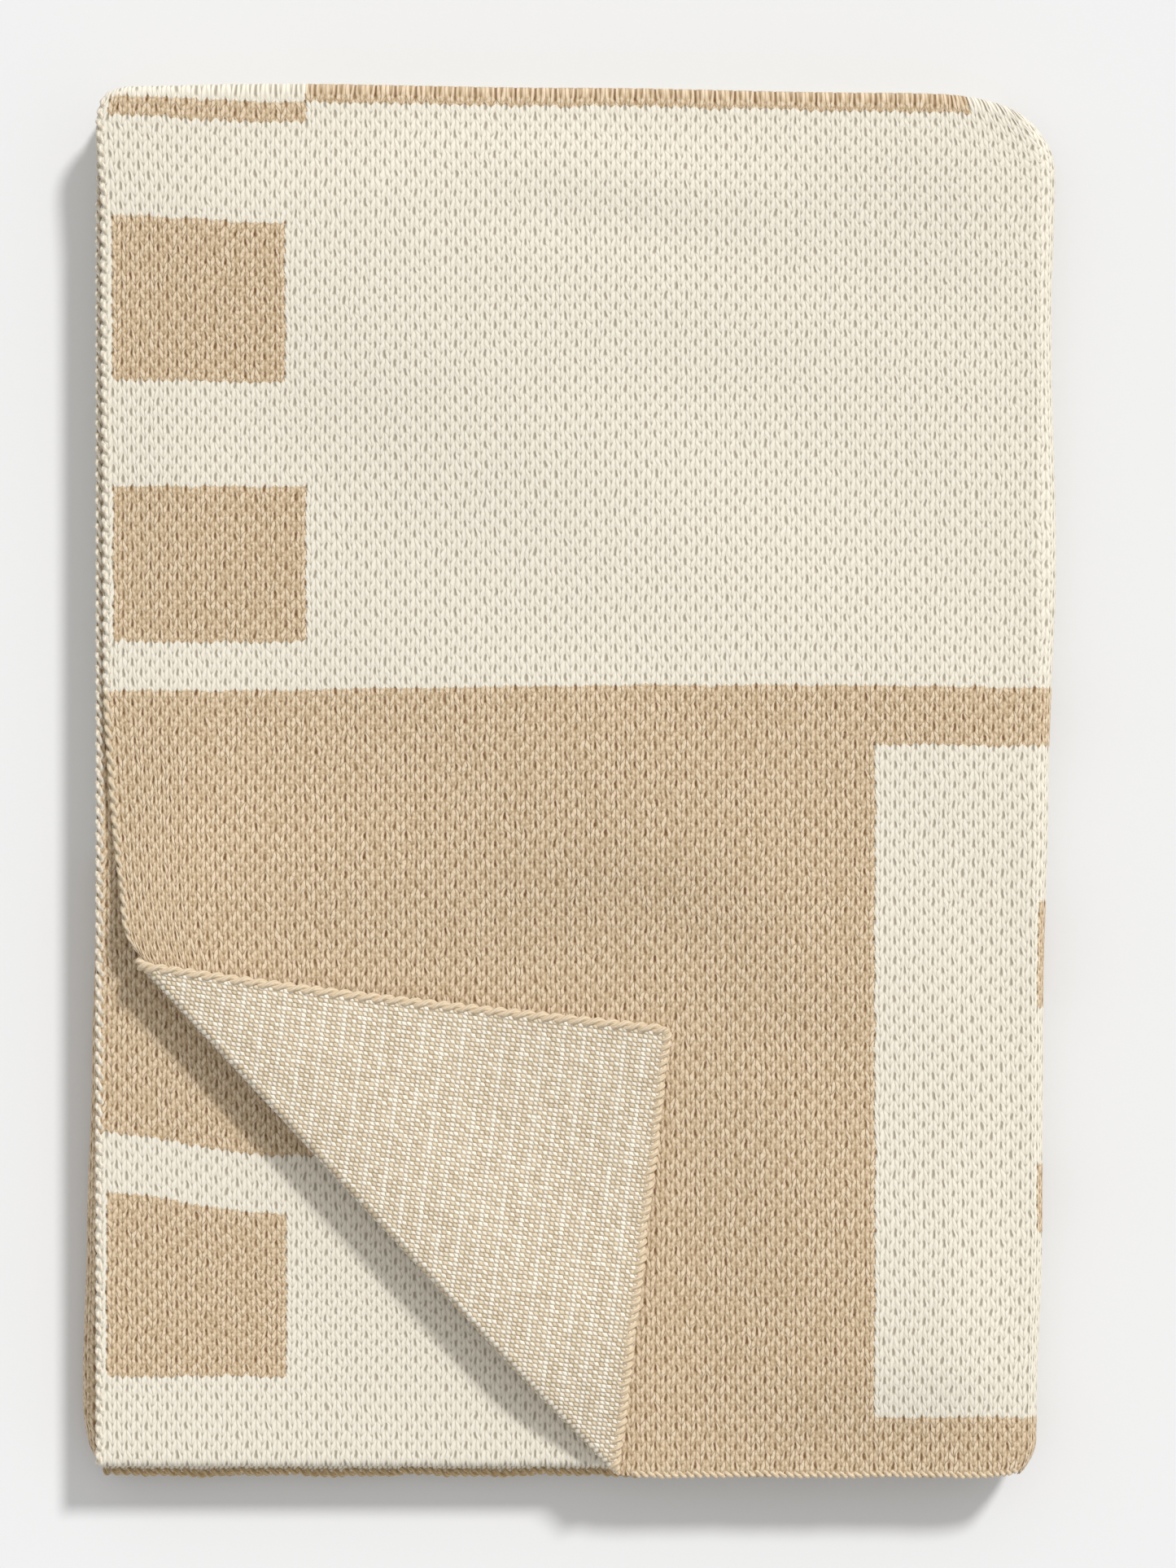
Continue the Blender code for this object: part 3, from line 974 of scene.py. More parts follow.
@dataclass(frozen=True)
class KnitReverse(YarnFinish):
    """Jacquard reverse: small purl bumps of cream and camel by turns, in rows, which read as specks. The hollows
    between the bumps are painted dark as shade, the bump tops lighter.
    """

    name: str = "jacquard_knit_reverse"
    wale: float = 0.0044
    course: float = 0.0043
    cream: str = "#F0E8D8"
    camel: str = "#DECFB5"
    # Painted shade for the hollows between the bumps.
    gap_shade: str = "#98815C"
    relief: float = 0.0005

    def draw(self, add: Callable[..., Socket]) -> tuple[Socket, Socket]:
        """Draws the purl bumps.

        Args:
            add: Adds a node to the material's tree.

        Returns:
            The colour and the normal.
        """
        cloth = add("UVMap", uv_map=CLOTH_MAP)
        bumps = add("VectorMath MULTIPLY", cloth, (2 / self.wale, 2 / self.course, 0.0))
        jitter = add("TexNoise", inputs={"Vector": cloth, "Scale": 260.0, "Detail": 1.0}, output="Color")
        jitter = add("VectorMath SUBTRACT", jitter, (0.5, 0.5, 0.5))
        wandered = add("VectorMath MULTIPLY_ADD", jitter, (0.35, 0.40, 0.0), bumps)
        a = add("SeparateXYZ", wandered, output=0)
        b = add("SeparateXYZ", wandered, output=1)
        b = add("Math MULTIPLY_ADD", add("Math SUBTRACT", add("Math FRACT", a), 0.5), 0.45, b)
        row = add("Math SINE", add("Math MULTIPLY", add("Math FRACT", a), math.pi))
        lump = add("Math SINE", add("Math MULTIPLY", add("Math FRACT", b), math.pi))
        bump = add("Math MAXIMUM", add("Math MULTIPLY", row, lump), 0.0001)
        bump = add("Math POWER", bump, 0.6)
        column, rank = add("Math FLOOR", a), add("Math FLOOR", b)
        chance = add("TexWhiteNoise", add("CombineXYZ", column, rank), noise_dimensions="2D")
        # Camel takes every other bump, but for one row in four that is all cream.
        turn = add("Math FLOORED_MODULO", add("Math ADD", column, rank), 2.0)
        plain = add("Math LESS_THAN", add("Math FLOORED_MODULO", rank, 4.0), 0.5)
        camel = add("Math MULTIPLY", turn, add("Math SUBTRACT", 1.0, plain))
        fine = {"Vector": cloth, "Scale": 900.0, "Detail": 2.0, "Roughness": 0.7}
        fibre = add("TexNoise", inputs=fine)

        pair = {0: camel, 6: srgb(self.cream), 7: srgb(self.camel)}
        yarn = add("Mix", inputs=pair, output=2, data_type="RGBA")
        # Painted shade: the colour darkens from each bump's top into the hollows round it, with fibre and per-bump
        # noise varying the tone.
        shade = add("Math MULTIPLY", add("Math SUBTRACT", fibre, 0.5), 0.8)
        shade = add("Math ADD", add("Math MULTIPLY_ADD", bump, 0.85, shade), 0.22)
        shade = add("Math MULTIPLY_ADD", add("Math SUBTRACT", chance, 0.5), 0.35, shade)
        color = add("Mix", inputs={0: shade, 6: srgb(self.gap_shade), 7: yarn}, output=2, data_type="RGBA")
        height = add("Math MULTIPLY_ADD", bump, 0.8, add("Math MULTIPLY", fibre, 0.15))
        relief = {"Strength": 1.0, "Distance": self.relief, "Height": height}
        return color, add("Bump", inputs=relief)


@dataclass(frozen=True)
class EdgeFinish(YarnFinish):
    """Linked edge yarn: matt plied cotton blend, a little fuzzy, with its twist bumped and painted as lit crests
    and shaded grooves.
    """

    # light colours the crests of the plies; the darker colour is painted shade in the grooves between them.
    light: str = "#FFFFFF"
    dark_shade: str = "#000000"
    camel_light: str = ""
    camel_below: float = 0.348
    roughness: float = 0.93
    specular: float = 0.2
    sheen: float = 0.15
    twist: float = 0.0011
    lay_angle: float = 0.6

    def draw(self, add: Callable[..., Socket]) -> tuple[Socket, Socket]:
        """Draws the plied yarn.

        Args:
            add: Adds a node to the material's tree.

        Returns:
            The colour and the normal.
        """
        cloth = add("UVMap", uv_map=CLOTH_MAP)
        turned = add("Mapping", inputs={"Vector": cloth, "Rotation": (0.0, 0.0, self.lay_angle)})
        twist_scale = 1 / self.twist / math.tau
        ply = add("TexWave", inputs={"Vector": turned, "Scale": twist_scale, "Distortion": 1.5})
        fine = {"Vector": cloth, "Scale": 800.0, "Detail": 3.0, "Roughness": 0.7}
        mixed = add("Math MULTIPLY_ADD", ply, 0.45, add("TexNoise", inputs=fine))
        share = add("MapRange", mixed, 0.25, 1.05)
        light = srgb(self.light)
        if self.camel_light:
            # Side yarn takes the colour of the cloth beside it.
            beside = add("Math LESS_THAN", add("SeparateXYZ", cloth, output=1), self.camel_below)
            tints = {0: beside, 6: light, 7: srgb(self.camel_light)}
            light = add("Mix", inputs=tints, output=2, data_type="RGBA")
        # Painted shade in the grooves between the plies, and the lit colour on their crests.
        color = add("Mix", inputs={0: share, 6: srgb(self.dark_shade), 7: light}, output=2, data_type="RGBA")
        return color, add("Bump", inputs={"Strength": 0.9, "Distance": 0.0005, "Height": mixed})


@dataclass
class Finishes:
    """The finishes, made once and shared by every piece."""

    face: bpy.types.Material
    reverse: bpy.types.Material
    cream_edge: bpy.types.Material
    camel_edge: bpy.types.Material
    camel_hem: bpy.types.Material

    @classmethod
    def make(cls, plan: FoldPlan) -> "Finishes":
        """Builds each finish.

        Args:
            plan: The fold plan, which holds the size of a stitch.

        Returns:
            The finishes.
        """
        # Each edge yarn's darker colour is painted shade for the grooves between its plies.
        cream = EdgeFinish("chained_cream_yarn", light="#EEE6D6", dark_shade="#B8AA93", camel_light="#DCCBAE")
        return cls(
            face=KnitFace(wale=plan.wale, course=plan.course).build(),
            reverse=KnitReverse(wale=plan.wale, course=plan.course).build(),
            cream_edge=cream.build(),
            camel_edge=EdgeFinish("chained_camel_yarn", light="#E0CFB4", dark_shade="#C6B090").build(),
            camel_hem=EdgeFinish("linked_camel_yarn", light="#D6BE96", dark_shade="#A0855C").build(),
        )


def read(items: bpy.types.bpy_prop_collection, name: str, size: int, kind: type) -> Array:
    """Values of one attribute of every item, in one flat array."""
    values = np.empty(len(items) * size, kind)
    items.foreach_get(name, values)
    return values


def settle(mesh: bpy.types.Mesh, points: Array, cloth: Array, loops: Array) -> None:
    """Gives a flat mesh its shape and its cloth map, shaded smooth.

    Args:
        mesh: The mesh.
        points: Where each vertex goes.
        cloth: Each vertex's place on the flat cloth.
        loops: The vertex of each face corner.
    """
    mesh.vertices.foreach_set("co", points.astype(np.float32).ravel())
    layer = mesh.uv_layers.new(name=CLOTH_MAP)
    layer.data.foreach_set("uv", cloth[loops].astype(np.float32).ravel())
    mesh.polygons.foreach_set("use_smooth", np.ones(len(mesh.polygons), bool))


def stand(mesh: bpy.types.Mesh) -> bpy.types.Object:
    """Puts a finished mesh in the scene as a piece of the same name.

    Args:
        mesh: The mesh.

    Returns:
        The piece, at the origin.
    """
    obj = bpy.data.objects.new(mesh.name, mesh)
    bpy.context.scene.collection.objects.link(obj)
    LOG.info("%s: %d faces", mesh.name, len(mesh.polygons))
    return obj


@dataclass
class ClothPiece:
    """A stretch of cloth: a grid in flat cloth, cut, thickened, given its relief and laid in place."""

    name: str
    place: Place
    width_of: Callable[[Array], Array]
    length_of: Callable[[Array, Array], Array]
    relief: Relief
    columns: Array
    rows: Array
    cuts: list[tuple[Array, Array]] = field(default_factory=list)
    calm: Callable[[Array, Array], Array] | None = None
    free: Callable[[Array, Array], Array] | None = None
    calm_reach: float = 0.0025
    thin_reach: float = 0.0022
    flat_reach: float = 0.0015
    edge_thickness: float = 0.45

    def build(self, finishes: Finishes) -> bpy.types.Object:
        """Makes the piece.

        Args:
            finishes: The shared finishes.

        Returns:
            The finished object, at the origin.
        """
        shape = bmesh.new()
        count = len(self.columns)
        bmesh.ops.create_grid(shape, x_segments=count - 1, y_segments=len(self.rows) - 1, size=0.5)
        shape.verts.ensure_lookup_table()
        for index, vert in enumerate(shape.verts):
            vert.co = (self.columns[index % count], self.rows[index // count], 0.0)
        for point, outward in self.cuts:
            whole = shape.verts[:] + shape.edges[:] + shape.faces[:]
            plane = {"plane_co": (*point, 0.0), "plane_no": (*outward, 0.0)}
            bmesh.ops.bisect_plane(shape, geom=whole, dist=1e-7, clear_outer=True, **plane)
        shape.normal_update()
        # The shell is one unit thick until its two layers are laid, so that they can be told apart.
        bmesh.ops.solidify(shape, geom=shape.faces[:], thickness=1.0)
        mesh = bpy.data.meshes.new(self.name)
        shape.to_mesh(mesh)
        shape.free()
        return self.lay(mesh, finishes)

    def lay(self, mesh: bpy.types.Mesh, finishes: Finishes) -> bpy.types.Object:
        """Gives the flat shell its relief, cloth map and finishes, and folds it.

        Args:
            mesh: The flat shell.
            finishes: The shared finishes.

        Returns:
            The finished object.
        """
        c, v, layer = read(mesh.vertices, "co", 3, float).reshape(-1, 3).T
        u = self.width_of(c)
        length = self.length_of(u, v)
        back = layer < -0.5
        height = np.where(back, -self.relief.reverse(u, length), self.relief.face(u, length))
        if self.calm is not None:
            height = height * smooth(self.calm(c, v) / self.calm_reach)
        half = np.full(len(c), PLY_HALF)
        if self.free is not None:
            edge = self.free(c, v)
            thin = self.edge_thickness
            half = half * (thin + (1.0 - thin) * smooth(edge / self.thin_reach))
            height = height * smooth(edge / self.flat_reach)
        points = self.place(c, v, np.where(back, -half, half) + height)
        loops = read(mesh.loops, "vertex_index", 1, np.int32)
        settle(mesh, points, np.column_stack([u, length]), loops)
        starts = read(mesh.polygons, "loop_start", 1, np.int32)
        under = np.maximum.reduceat(layer[loops], starts) < -0.5
        mesh.polygons.foreach_set("material_index", under.astype(np.int32))
        rim = (np.minimum.reduceat(layer[loops], starts) < -0.5) & ~under
        self.sharpen_rim(mesh, layer, np.repeat(rim, np.diff(np.append(starts, len(loops)))))
        mesh.materials.append(finishes.face)
        mesh.materials.append(finishes.reverse)
        mesh.update()
        return stand(mesh)

    @staticmethod
    def sharpen_rim(mesh: bpy.types.Mesh, layer: Array, on_rim: Array) -> None:
        """Marks the cloth's cut edges sharp, so that neighbouring pieces shade as one cloth.

        Args:
            mesh: The cloth.
            layer: Which layer each vertex lies in.
            on_rim: Whether each face corner belongs to the rim.
        """
        edge_of = read(mesh.loops, "edge_index", 1, np.int32)
        ends = read(mesh.edges, "vertices", 2, np.int32).reshape(-1, 2)
        at_rim = np.zeros(len(mesh.edges), bool)
        at_rim[edge_of[on_rim]] = True
        level = np.abs(layer[ends[:, 0]] - layer[ends[:, 1]]) < 0.5
        sharp = mesh.attributes.new("sharp_edge", "BOOLEAN", "EDGE")
        sharp.data.foreach_set("value", at_rim & level)


@dataclass(frozen=True)
class Twist:
    """Two strands twisted so that each half turn makes one loop of the edge."""

    lobe: float = 0.0057
    spread: float = 0.0009
    strand: float = 0.00115
    flatten: float = 0.9
    sides: int = 7
    steps_in_lobe: int = 5
    wander: float = 0.0
    lift: float = 0.0
    taper: float = 0.002


# Edges that show well are made rounder than the ones between plies.
COVER_CHAIN = Twist(spread=0.0011, strand=0.00125)
COVER_HEM = Twist(lobe=0.0034, wander=0.0002)
COVER_TUCKED_HEM = Twist(lobe=0.0034, sides=5)
LOWER_HEM = Twist(lobe=0.0042, wander=0.0004, spread=0.0010, strand=0.0012, sides=6)
LOWER_INNER_HEM = Twist(lobe=0.0045, sides=5, steps_in_lobe=4)
BASE_CHAIN = Twist(sides=6, steps_in_lobe=4)
FOLD_HEM = Twist(lobe=0.0042, wander=0.0003, sides=6)
FOLD_INNER_HEM = Twist(lobe=0.0042, sides=6)
CORNER_CHAIN = Twist(lobe=0.0060, spread=0.0013, strand=0.0016, lift=-0.0003)
CORNER_HEM = Twist(lobe=0.0042, spread=0.0012, strand=0.0015, wander=0.0003)


@dataclass
class YarnEdge:
    """Edge yarn laid along a free edge."""

    name: str
    place: Place
    along_length: bool
    at: float
    start: float
    end: float
    twist: Twist

    def build(self, finish: bpy.types.Material) -> bpy.types.Object:
        """Makes the yarn.

        Args:
            finish: The yarn's material.

        Returns:
            The finished object, at the origin.
        """
        twist, length = self.twist, self.end - self.start
        steps = max(8, round(abs(length) / twist.lobe * twist.steps_in_lobe))
        # Both strands are spun straight, far enough apart to be told from each other.
        apart = 4.0
        shape = bmesh.new()
        for strand in (0, 1):
            where = Matrix.Translation((apart * strand, 0.0, 0.0))
            bmesh.ops.create_circle(shape, segments=twist.sides, radius=1.0, cap_ends=False, matrix=where)
        turnless = {"cent": (0, 0, 0), "axis": (0, 0, 1), "angle": 0.0}
        bmesh.ops.spin(shape, geom=shape.edges[:], dvec=(0, 0, 1.0), steps=steps, **turnless)
        rims = [edge for edge in shape.edges if edge.is_boundary]
        bmesh.ops.holes_fill(shape, edges=rims, sides=0)
        bmesh.ops.recalc_face_normals(shape, faces=shape.faces[:])
        mesh = bpy.data.meshes.new(self.name)
        shape.to_mesh(mesh)
        shape.free()
        x, y, z = read(mesh.vertices, "co", 3, float).reshape(-1, 3).T
        second = x > apart / 2
        x = x - apart * second
        run = self.start + length * z / steps
        turn = math.pi * run / twist.lobe + math.pi * second
        to_end = np.minimum(run - self.start, self.end - run) * np.sign(length)
        taper = 0.35 + 0.65 * smooth(to_end / twist.taper)
        stray = np.sin(run * 97.0) + 0.7 * np.sin(run * 231.0 + 1.0) + 0.5 * np.sin(run * 517.0 + 2.0)
        across = taper * (twist.spread * np.cos(turn) + twist.strand * x)
        across = self.at + twist.wander * stray + across
        height = taper * (twist.flatten * twist.spread * np.sin(turn) + twist.strand * y) + twist.lift
        ends = (across, run) if self.along_length else (run, across)
        cloth = np.column_stack([twist.strand * x + 0.01 * second, run + twist.strand * y])
        settle(mesh, self.place(*ends, height), cloth, read(mesh.loops, "vertex_index", 1, np.int32))
        mesh.materials.append(finish)
        mesh.update()
        if self.inside_out(mesh):
            mesh.flip_normals()
        return stand(mesh)

    @staticmethod
    def inside_out(mesh: bpy.types.Mesh) -> bool:
        """Whether a closed mesh holds a negative volume.

        Args:
            mesh: The mesh.

        Returns:
            True where its faces point inwards.
        """
        mesh.calc_loop_triangles()
        corners = read(mesh.loop_triangles, "vertices", 3, np.int32).reshape(-1, 3)
        points = read(mesh.vertices, "co", 3, float).reshape(-1, 3)
        a, b, c = points[corners].transpose(1, 0, 2)
        return float((a * np.cross(b, c)).sum()) < 0.0


@dataclass
class Blanket:
    """Shared data for the sub-assemblies."""

    folding: Folding
    relief: Relief
    skew: Skew
    finishes: Finishes
    top_steps: int = 8
    bottom_steps: int = 9

    @property
    def plan(self) -> FoldPlan:
        """The fold plan."""
        return self.folding.plan

    def cloth(
        self, name: str, region: Region, columns: Array, rows: Array, place: Place | None = None, **more: object
    ) -> bpy.types.Object:
        """Builds a stretch of cloth in a region of the width.

        Args:
            name: The piece's name.
            region: The region.
            columns: Positions across it.
            rows: Cloth lengths.
            place: How it is laid, if not by the region's own map.
            **more: Cuts and edges, as ClothPiece has them.

        Returns:
            The finished object.
        """
        place = place or self.folding.placer(region)
        width_of = partial(self.plan.cloth_width, region)
        piece = ClothPiece(name, place, width_of, self.skew.length_of, self.relief, columns, rows, **more)
        return piece.build(self.finishes)

    def bends(self, low: float, high: float, step: float) -> Array:
        """Rows of the cloth between two lengths, closer together round the two end bends.

        Args:
            low: Where the rows start.
            high: Where they end.
            step: Their distance on the flat.

        Returns:
            The rows.
        """
        plan = self.plan
        folds = (plan.upper_end, plan.outer_start, plan.outer_end, plan.inner_start)
        marks = [low, *(mark for mark in folds if low < mark < high), high]
        parts = []
        for first, last in zip(marks, marks[1:]):
            if first == plan.upper_end and last == plan.outer_start:
                parts.append(np.linspace(first, last, self.top_steps))
            elif first == plan.outer_end and last == plan.inner_start:
                parts.append(np.linspace(first, last, self.bottom_steps))
            else:
                parts.append(span(first, last, step))
        return joined(*parts)


@dataclass
class CoverGroup:
    """The top group: the visible ply, the ply tucked under it, the ply below and their yarn edges."""

    blanket: Blanket
    exposed_top: float = 0.262
    exposed_wales: int = 58
    seam_course: int = 80
    under_rise: float = 0.012

    def from_side(self, c: Array, v: Array) -> Array:
        """Distance from the side edge."""
        return c - self.blanket.plan.cover_left

    def from_side_or_hem(self, c: Array, v: Array) -> Array:
        """Distance from the nearer free edge."""
        return np.minimum(c - self.blanket.plan.cover_left, v)

    def from_crease(self, c: Array, v: Array) -> Array:
        """Distance from the crease of the turned corner."""
        return -self.blanket.folding.corner.crease_distance(c, self.blanket.plan.cover_hem + v)

    def build(self) -> None:
        """Builds the group's pieces."""
        blanket, plan = self.blanket, self.blanket.plan
        corner = blanket.folding.corner
        cloth = partial(blanket.cloth, region=Region.COVER)
        quarter, half = plan.wale / 4, plan.course / 2
        left, right = plan.cover_left, plan.right_bend
        width = right - left
        columns, coarse = span(left, right, quarter), span(left, right, plan.wale)
        seam = self.seam_course * plan.course
        side = self.from_side

        top_rows = blanket.bends(plan.upper_end, plan.outer_start, half)
        upper_rows = joined(span(seam, plan.upper_end, half), top_rows)
        field_piece = cloth("cover_knit_field", columns=columns, rows=upper_rows, free=side)
        block_piece = cloth(
            "cover_knit_block",
            columns=columns,
            rows=span(0.0, seam, half),
            cuts=[(corner.flat_head - np.array([0.0, plan.cover_hem]), corner.flat_out)],
            calm=self.from_crease,
            free=self.from_side_or_hem,
        )
        # Under the top ply, only what shows beside the turned corner has its stitches in full.
        under_end = plan.outer_end - self.under_rise
        exposed = plan.inner_start + self.exposed_top
        shown = left + self.exposed_wales * plan.wale
        under_columns = joined(span(left, shown, quarter), span(shown, right, plan.wale))
        under_rows = blanket.bends(under_end, exposed, half)
        tucked = cloth("cover_knit_tucked", columns=under_columns, rows=under_rows, free=side)
        back_rows = span(plan.outer_start, under_end, plan.course)
        back = cloth("cover_knit_back", columns=coarse, rows=back_rows, free=side)
        lining_rows = span(exposed, plan.inner_end, plan.course * 2)
        lining = cloth("cover_knit_lining", columns=coarse, rows=lining_rows, free=side)

        selvedge, hem, tucked_hem = self.yarns()
        flap_area = 0.5 * float(corner.foot[0] - left) * (float(corner.flat_head[1]) - plan.cover_hem)
        run = upper_rows[-1] - upper_rows[0]
        under_run = under_rows[-1] - under_rows[0]
        pieces = [
            (field_piece, ("cover_upper_panel", "cover_top_bend"), run, None, [selvedge]),
            (block_piece, ("cover_upper_panel",), seam, width * seam - flap_area, [hem]),
            (tucked, ("cover_inner_panel", "cover_bottom_bend"), under_run, None, []),
            (back, ("cover_outer_panel",), under_end - plan.outer_start, None, []),
            (lining, ("cover_inner_panel",), plan.inner_end - exposed, None, [tucked_hem]),
        ]
        for piece, nodes, length, area, edges in pieces:
            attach(piece, "cover")
            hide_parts(*nodes)

    def yarns(self) -> list[bpy.types.Object]:
        """Builds the group's edge yarns.

        Returns:
            The selvedge, the hem and the tucked hem.
        """
        blanket, plan = self.blanket, self.blanket.plan
        corner, finishes = blanket.folding.corner, blanket.finishes
        yarn = partial(YarnEdge, place=blanket.folding.placer(Region.COVER))
        head = float(corner.flat_head[1]) - plan.cover_hem
        selvedge = yarn(
            "cover_selvedge_yarn",
            along_length=True,
            at=plan.cover_left + 0.0013,
            start=head + 0.0005,
            end=plan.inner_end,
            twist=COVER_CHAIN,
        )
        hem = yarn(
            "cover_hem_yarn",
            along_length=False,
            at=0.0007,
            start=float(corner.foot[0]) + 0.002,
            end=plan.right_bend,
            twist=COVER_HEM,
        )
        tucked_hem = yarn(
            "cover_tucked_hem_yarn",
            along_length=False,
            at=plan.inner_end - 0.0007,
            start=plan.cover_left,
            end=plan.right_bend,
            twist=COVER_TUCKED_HEM,
        )
        sides = ("cover_upper_selvedge", "cover_inner_selvedge", "cover_outer_selvedge")
        built = []
        for edge, finish, nodes, slot in (
            (selvedge, finishes.cream_edge, sides, "selvedge"),
            (hem, finishes.camel_edge, ("cover_upper_hem",), "hem"),
            (tucked_hem, finishes.camel_hem, ("cover_inner_hem",), "hem"),
        ):
            rope = edge.build(finish)
            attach(rope, "cover")
            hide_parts(*nodes)
            built.append(rope)
        return built


@dataclass
class PlainGroup:
    """The middle or the base group: one strip of cloth in three plies, with its hems."""

    blanket: Blanket
    region: Region
    hem_inset: float = 0.0008
    inner_hem_inset: float = 0.0007

    @property
    def width(self) -> float:
        """Width of the group's flat cloth."""
        plan = self.blanket.plan
        return (plan.base_right if self.region is Region.BASE else plan.right_bend) - plan.left_bend

    def from_edge(self, c: Array, v: Array) -> Array:
        """Distance from the nearest free edge."""
        hem = np.minimum(v - self.blanket.plan.low_start, self.blanket.plan.inner_end - v)
        return np.minimum(self.width - c, hem) if self.region is Region.BASE else hem

    def build(self) -> None:
        """Builds the group's pieces."""
        blanket, plan, name = self.blanket, self.blanket.plan, self.region.value
        base, width, low = self.region is Region.BASE, self.width, plan.low_start
        finishes = blanket.finishes
        rows = blanket.bends(low, plan.inner_end, plan.course)
        columns = span(0.0, width, plan.wale)
        cloth = blanket.cloth(f"{name}_knit", self.region, columns, rows, free=self.from_edge)
        place = blanket.folding.placer(self.region)
        at, inner_at = low + self.hem_inset, plan.inner_end - self.inner_hem_inset
        hem = YarnEdge(f"{name}_hem_yarn", place, False, at, 0.0, width, LOWER_HEM)
        inner = YarnEdge(f"{name}_inner_hem_yarn", place, False, inner_at, 0.0, width, LOWER_INNER_HEM)
        edges = [
            (hem.build(finishes.camel_hem), (f"{name}_upper_hem",), "hem"),
            (inner.build(finishes.camel_hem), (f"{name}_inner_hem",), "hem"),
        ]
        if base:
            at = width - self.hem_inset
            chain = YarnEdge("base_selvedge_yarn", place, True, at, low, plan.inner_end, BASE_CHAIN)
            nodes = ("base_upper_selvedge", "base_inner_selvedge", "base_outer_selvedge")
            edges.append((chain.build(finishes.cream_edge), nodes, "selvedge"))
        parts = ("outer_panel", "inner_panel", "upper_panel", "top_bend", "bottom_bend")
        whole = (cloth, tuple(f"{name}_{part}" for part in parts), "knit_face")
        for piece, nodes, slot in (*edges, whole):
            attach(piece, name)
            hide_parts(*nodes)


@dataclass
class SideFold:
    """The three nested half turns of cloth that join two groups."""

    blanket: Blanket
    region: Region
    lower: str
    upper: str
    hem_inset: float = 0.0008
    inner_hem_inset: float = 0.0007
    yarn_run: float = 0.0265
    flat_margin: float = 0.00035
    wide_steps: int = 24
    narrow_steps: int = 9

    def ranges(self) -> dict[Third, tuple[float, float]]:
        """The heights between which each third turns from the lower body to the upper one.

        Returns:
            The lower and the upper height of each third.
        """
        plan = self.blanket.plan
        half = PLY_HALF + self.flat_margin
        if self.region is Region.RIGHT_FOLD:
            low_mid, high_mid, outside = plan.middle_mid, plan.cover_mid, -1.0
        else:
            low_mid, high_mid, outside = plan.base_mid, plan.middle_mid, 1.0
        found = {}
        for third, offset in ((Third.UPPER, plan.pitch), (Third.INNER, 0.0), (Third.OUTER, -plan.pitch)):
            found[third] = (low_mid + outside * offset + half, high_mid - outside * offset - half)
        return found

    def rows(self, third: Third) -> Array:
        """Cloth lengths of one third's rows.

        Args:
            third: The third.

        Returns:
            The rows.
        """
        blanket, plan = self.blanket, self.blanket.plan
        if third is Third.UPPER:
            return blanket.bends(plan.low_start, plan.outer_start, plan.course / 2)
        if third is Third.OUTER:
            return blanket.bends(plan.outer_start, plan.outer_end, plan.course)
        return blanket.bends(plan.outer_end, plan.inner_end, plan.course)

    def from_hem(self, third: Third, c: Array, v: Array) -> Array:
        """Distance from the hem, if the third has one.

        Args:
            third: The third.
            c: Position round the fold; not used.
            v: Cloth length.

        Returns:
            The distance.
        """
        plan = self.blanket.plan
        if third is Third.UPPER:
            return v - plan.low_start
        return plan.inner_end - v if third is Third.INNER else np.full(len(v), 1.0)

    def nesting(self, third: Third) -> int:
        """How far out a third lies in the fold, from 0 inmost."""
        place = [Third.OUTER, Third.INNER, Third.UPPER].index(third)
        return place if self.region is Region.RIGHT_FOLD else 2 - place

    def place_yarn(self, c: Array, v: Array, h: Array) -> Array:
        """Lays yarn round the fold, its run measured in metres instead of 0 to 1."""
        return self.blanket.folding.place(self.region, c / self.yarn_run, v, h)

    def hem_yarn(self, third: Third) -> bpy.types.Object:
        """Builds the hem yarn of one third.

        Args:
            third: The third.

        Returns:
            The yarn.
        """
        plan, upper = self.blanket.plan, third is Third.UPPER
        at = plan.low_start + self.hem_inset if upper else plan.inner_end - self.inner_hem_inset
        name = f"{self.region.value}_{third.value}_hem_yarn"
        twist = FOLD_HEM if upper else FOLD_INNER_HEM
        yarn = YarnEdge(name, self.place_yarn, False, at, 0.0, self.yarn_run, twist)
        return yarn.build(self.blanket.finishes.camel_hem)

    def build(self) -> None:
        """Builds the fold's pieces."""
        blanket, plan, name = self.blanket, self.blanket.plan, self.region.value
        narrow, wide = [], []
        for third, (start, end) in self.ranges().items():
            inmost = self.nesting(third) == 0
            columns = np.linspace(0.0, 1.0, (self.narrow_steps if inmost else self.wide_steps) + 1)
            rows, edge = self.rows(third), partial(self.from_hem, third)
            piece = blanket.cloth(f"{name}_{third.value}_knit", self.region, columns, rows, free=edge)
            edges = []
            if third is not Third.OUTER:
                rope = self.hem_yarn(third)
                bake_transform(rope)
                edges.append(rope)
            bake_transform(piece)
            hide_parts(f"{name}_{third.value}")
            if inmost:
                narrow = [piece, *edges]
            else:
                width = math.pi * (self.nesting(third) + 0.5) * plan.pitch
                wide.append((piece, (width, float(rows[-1] - rows[0])), edges))


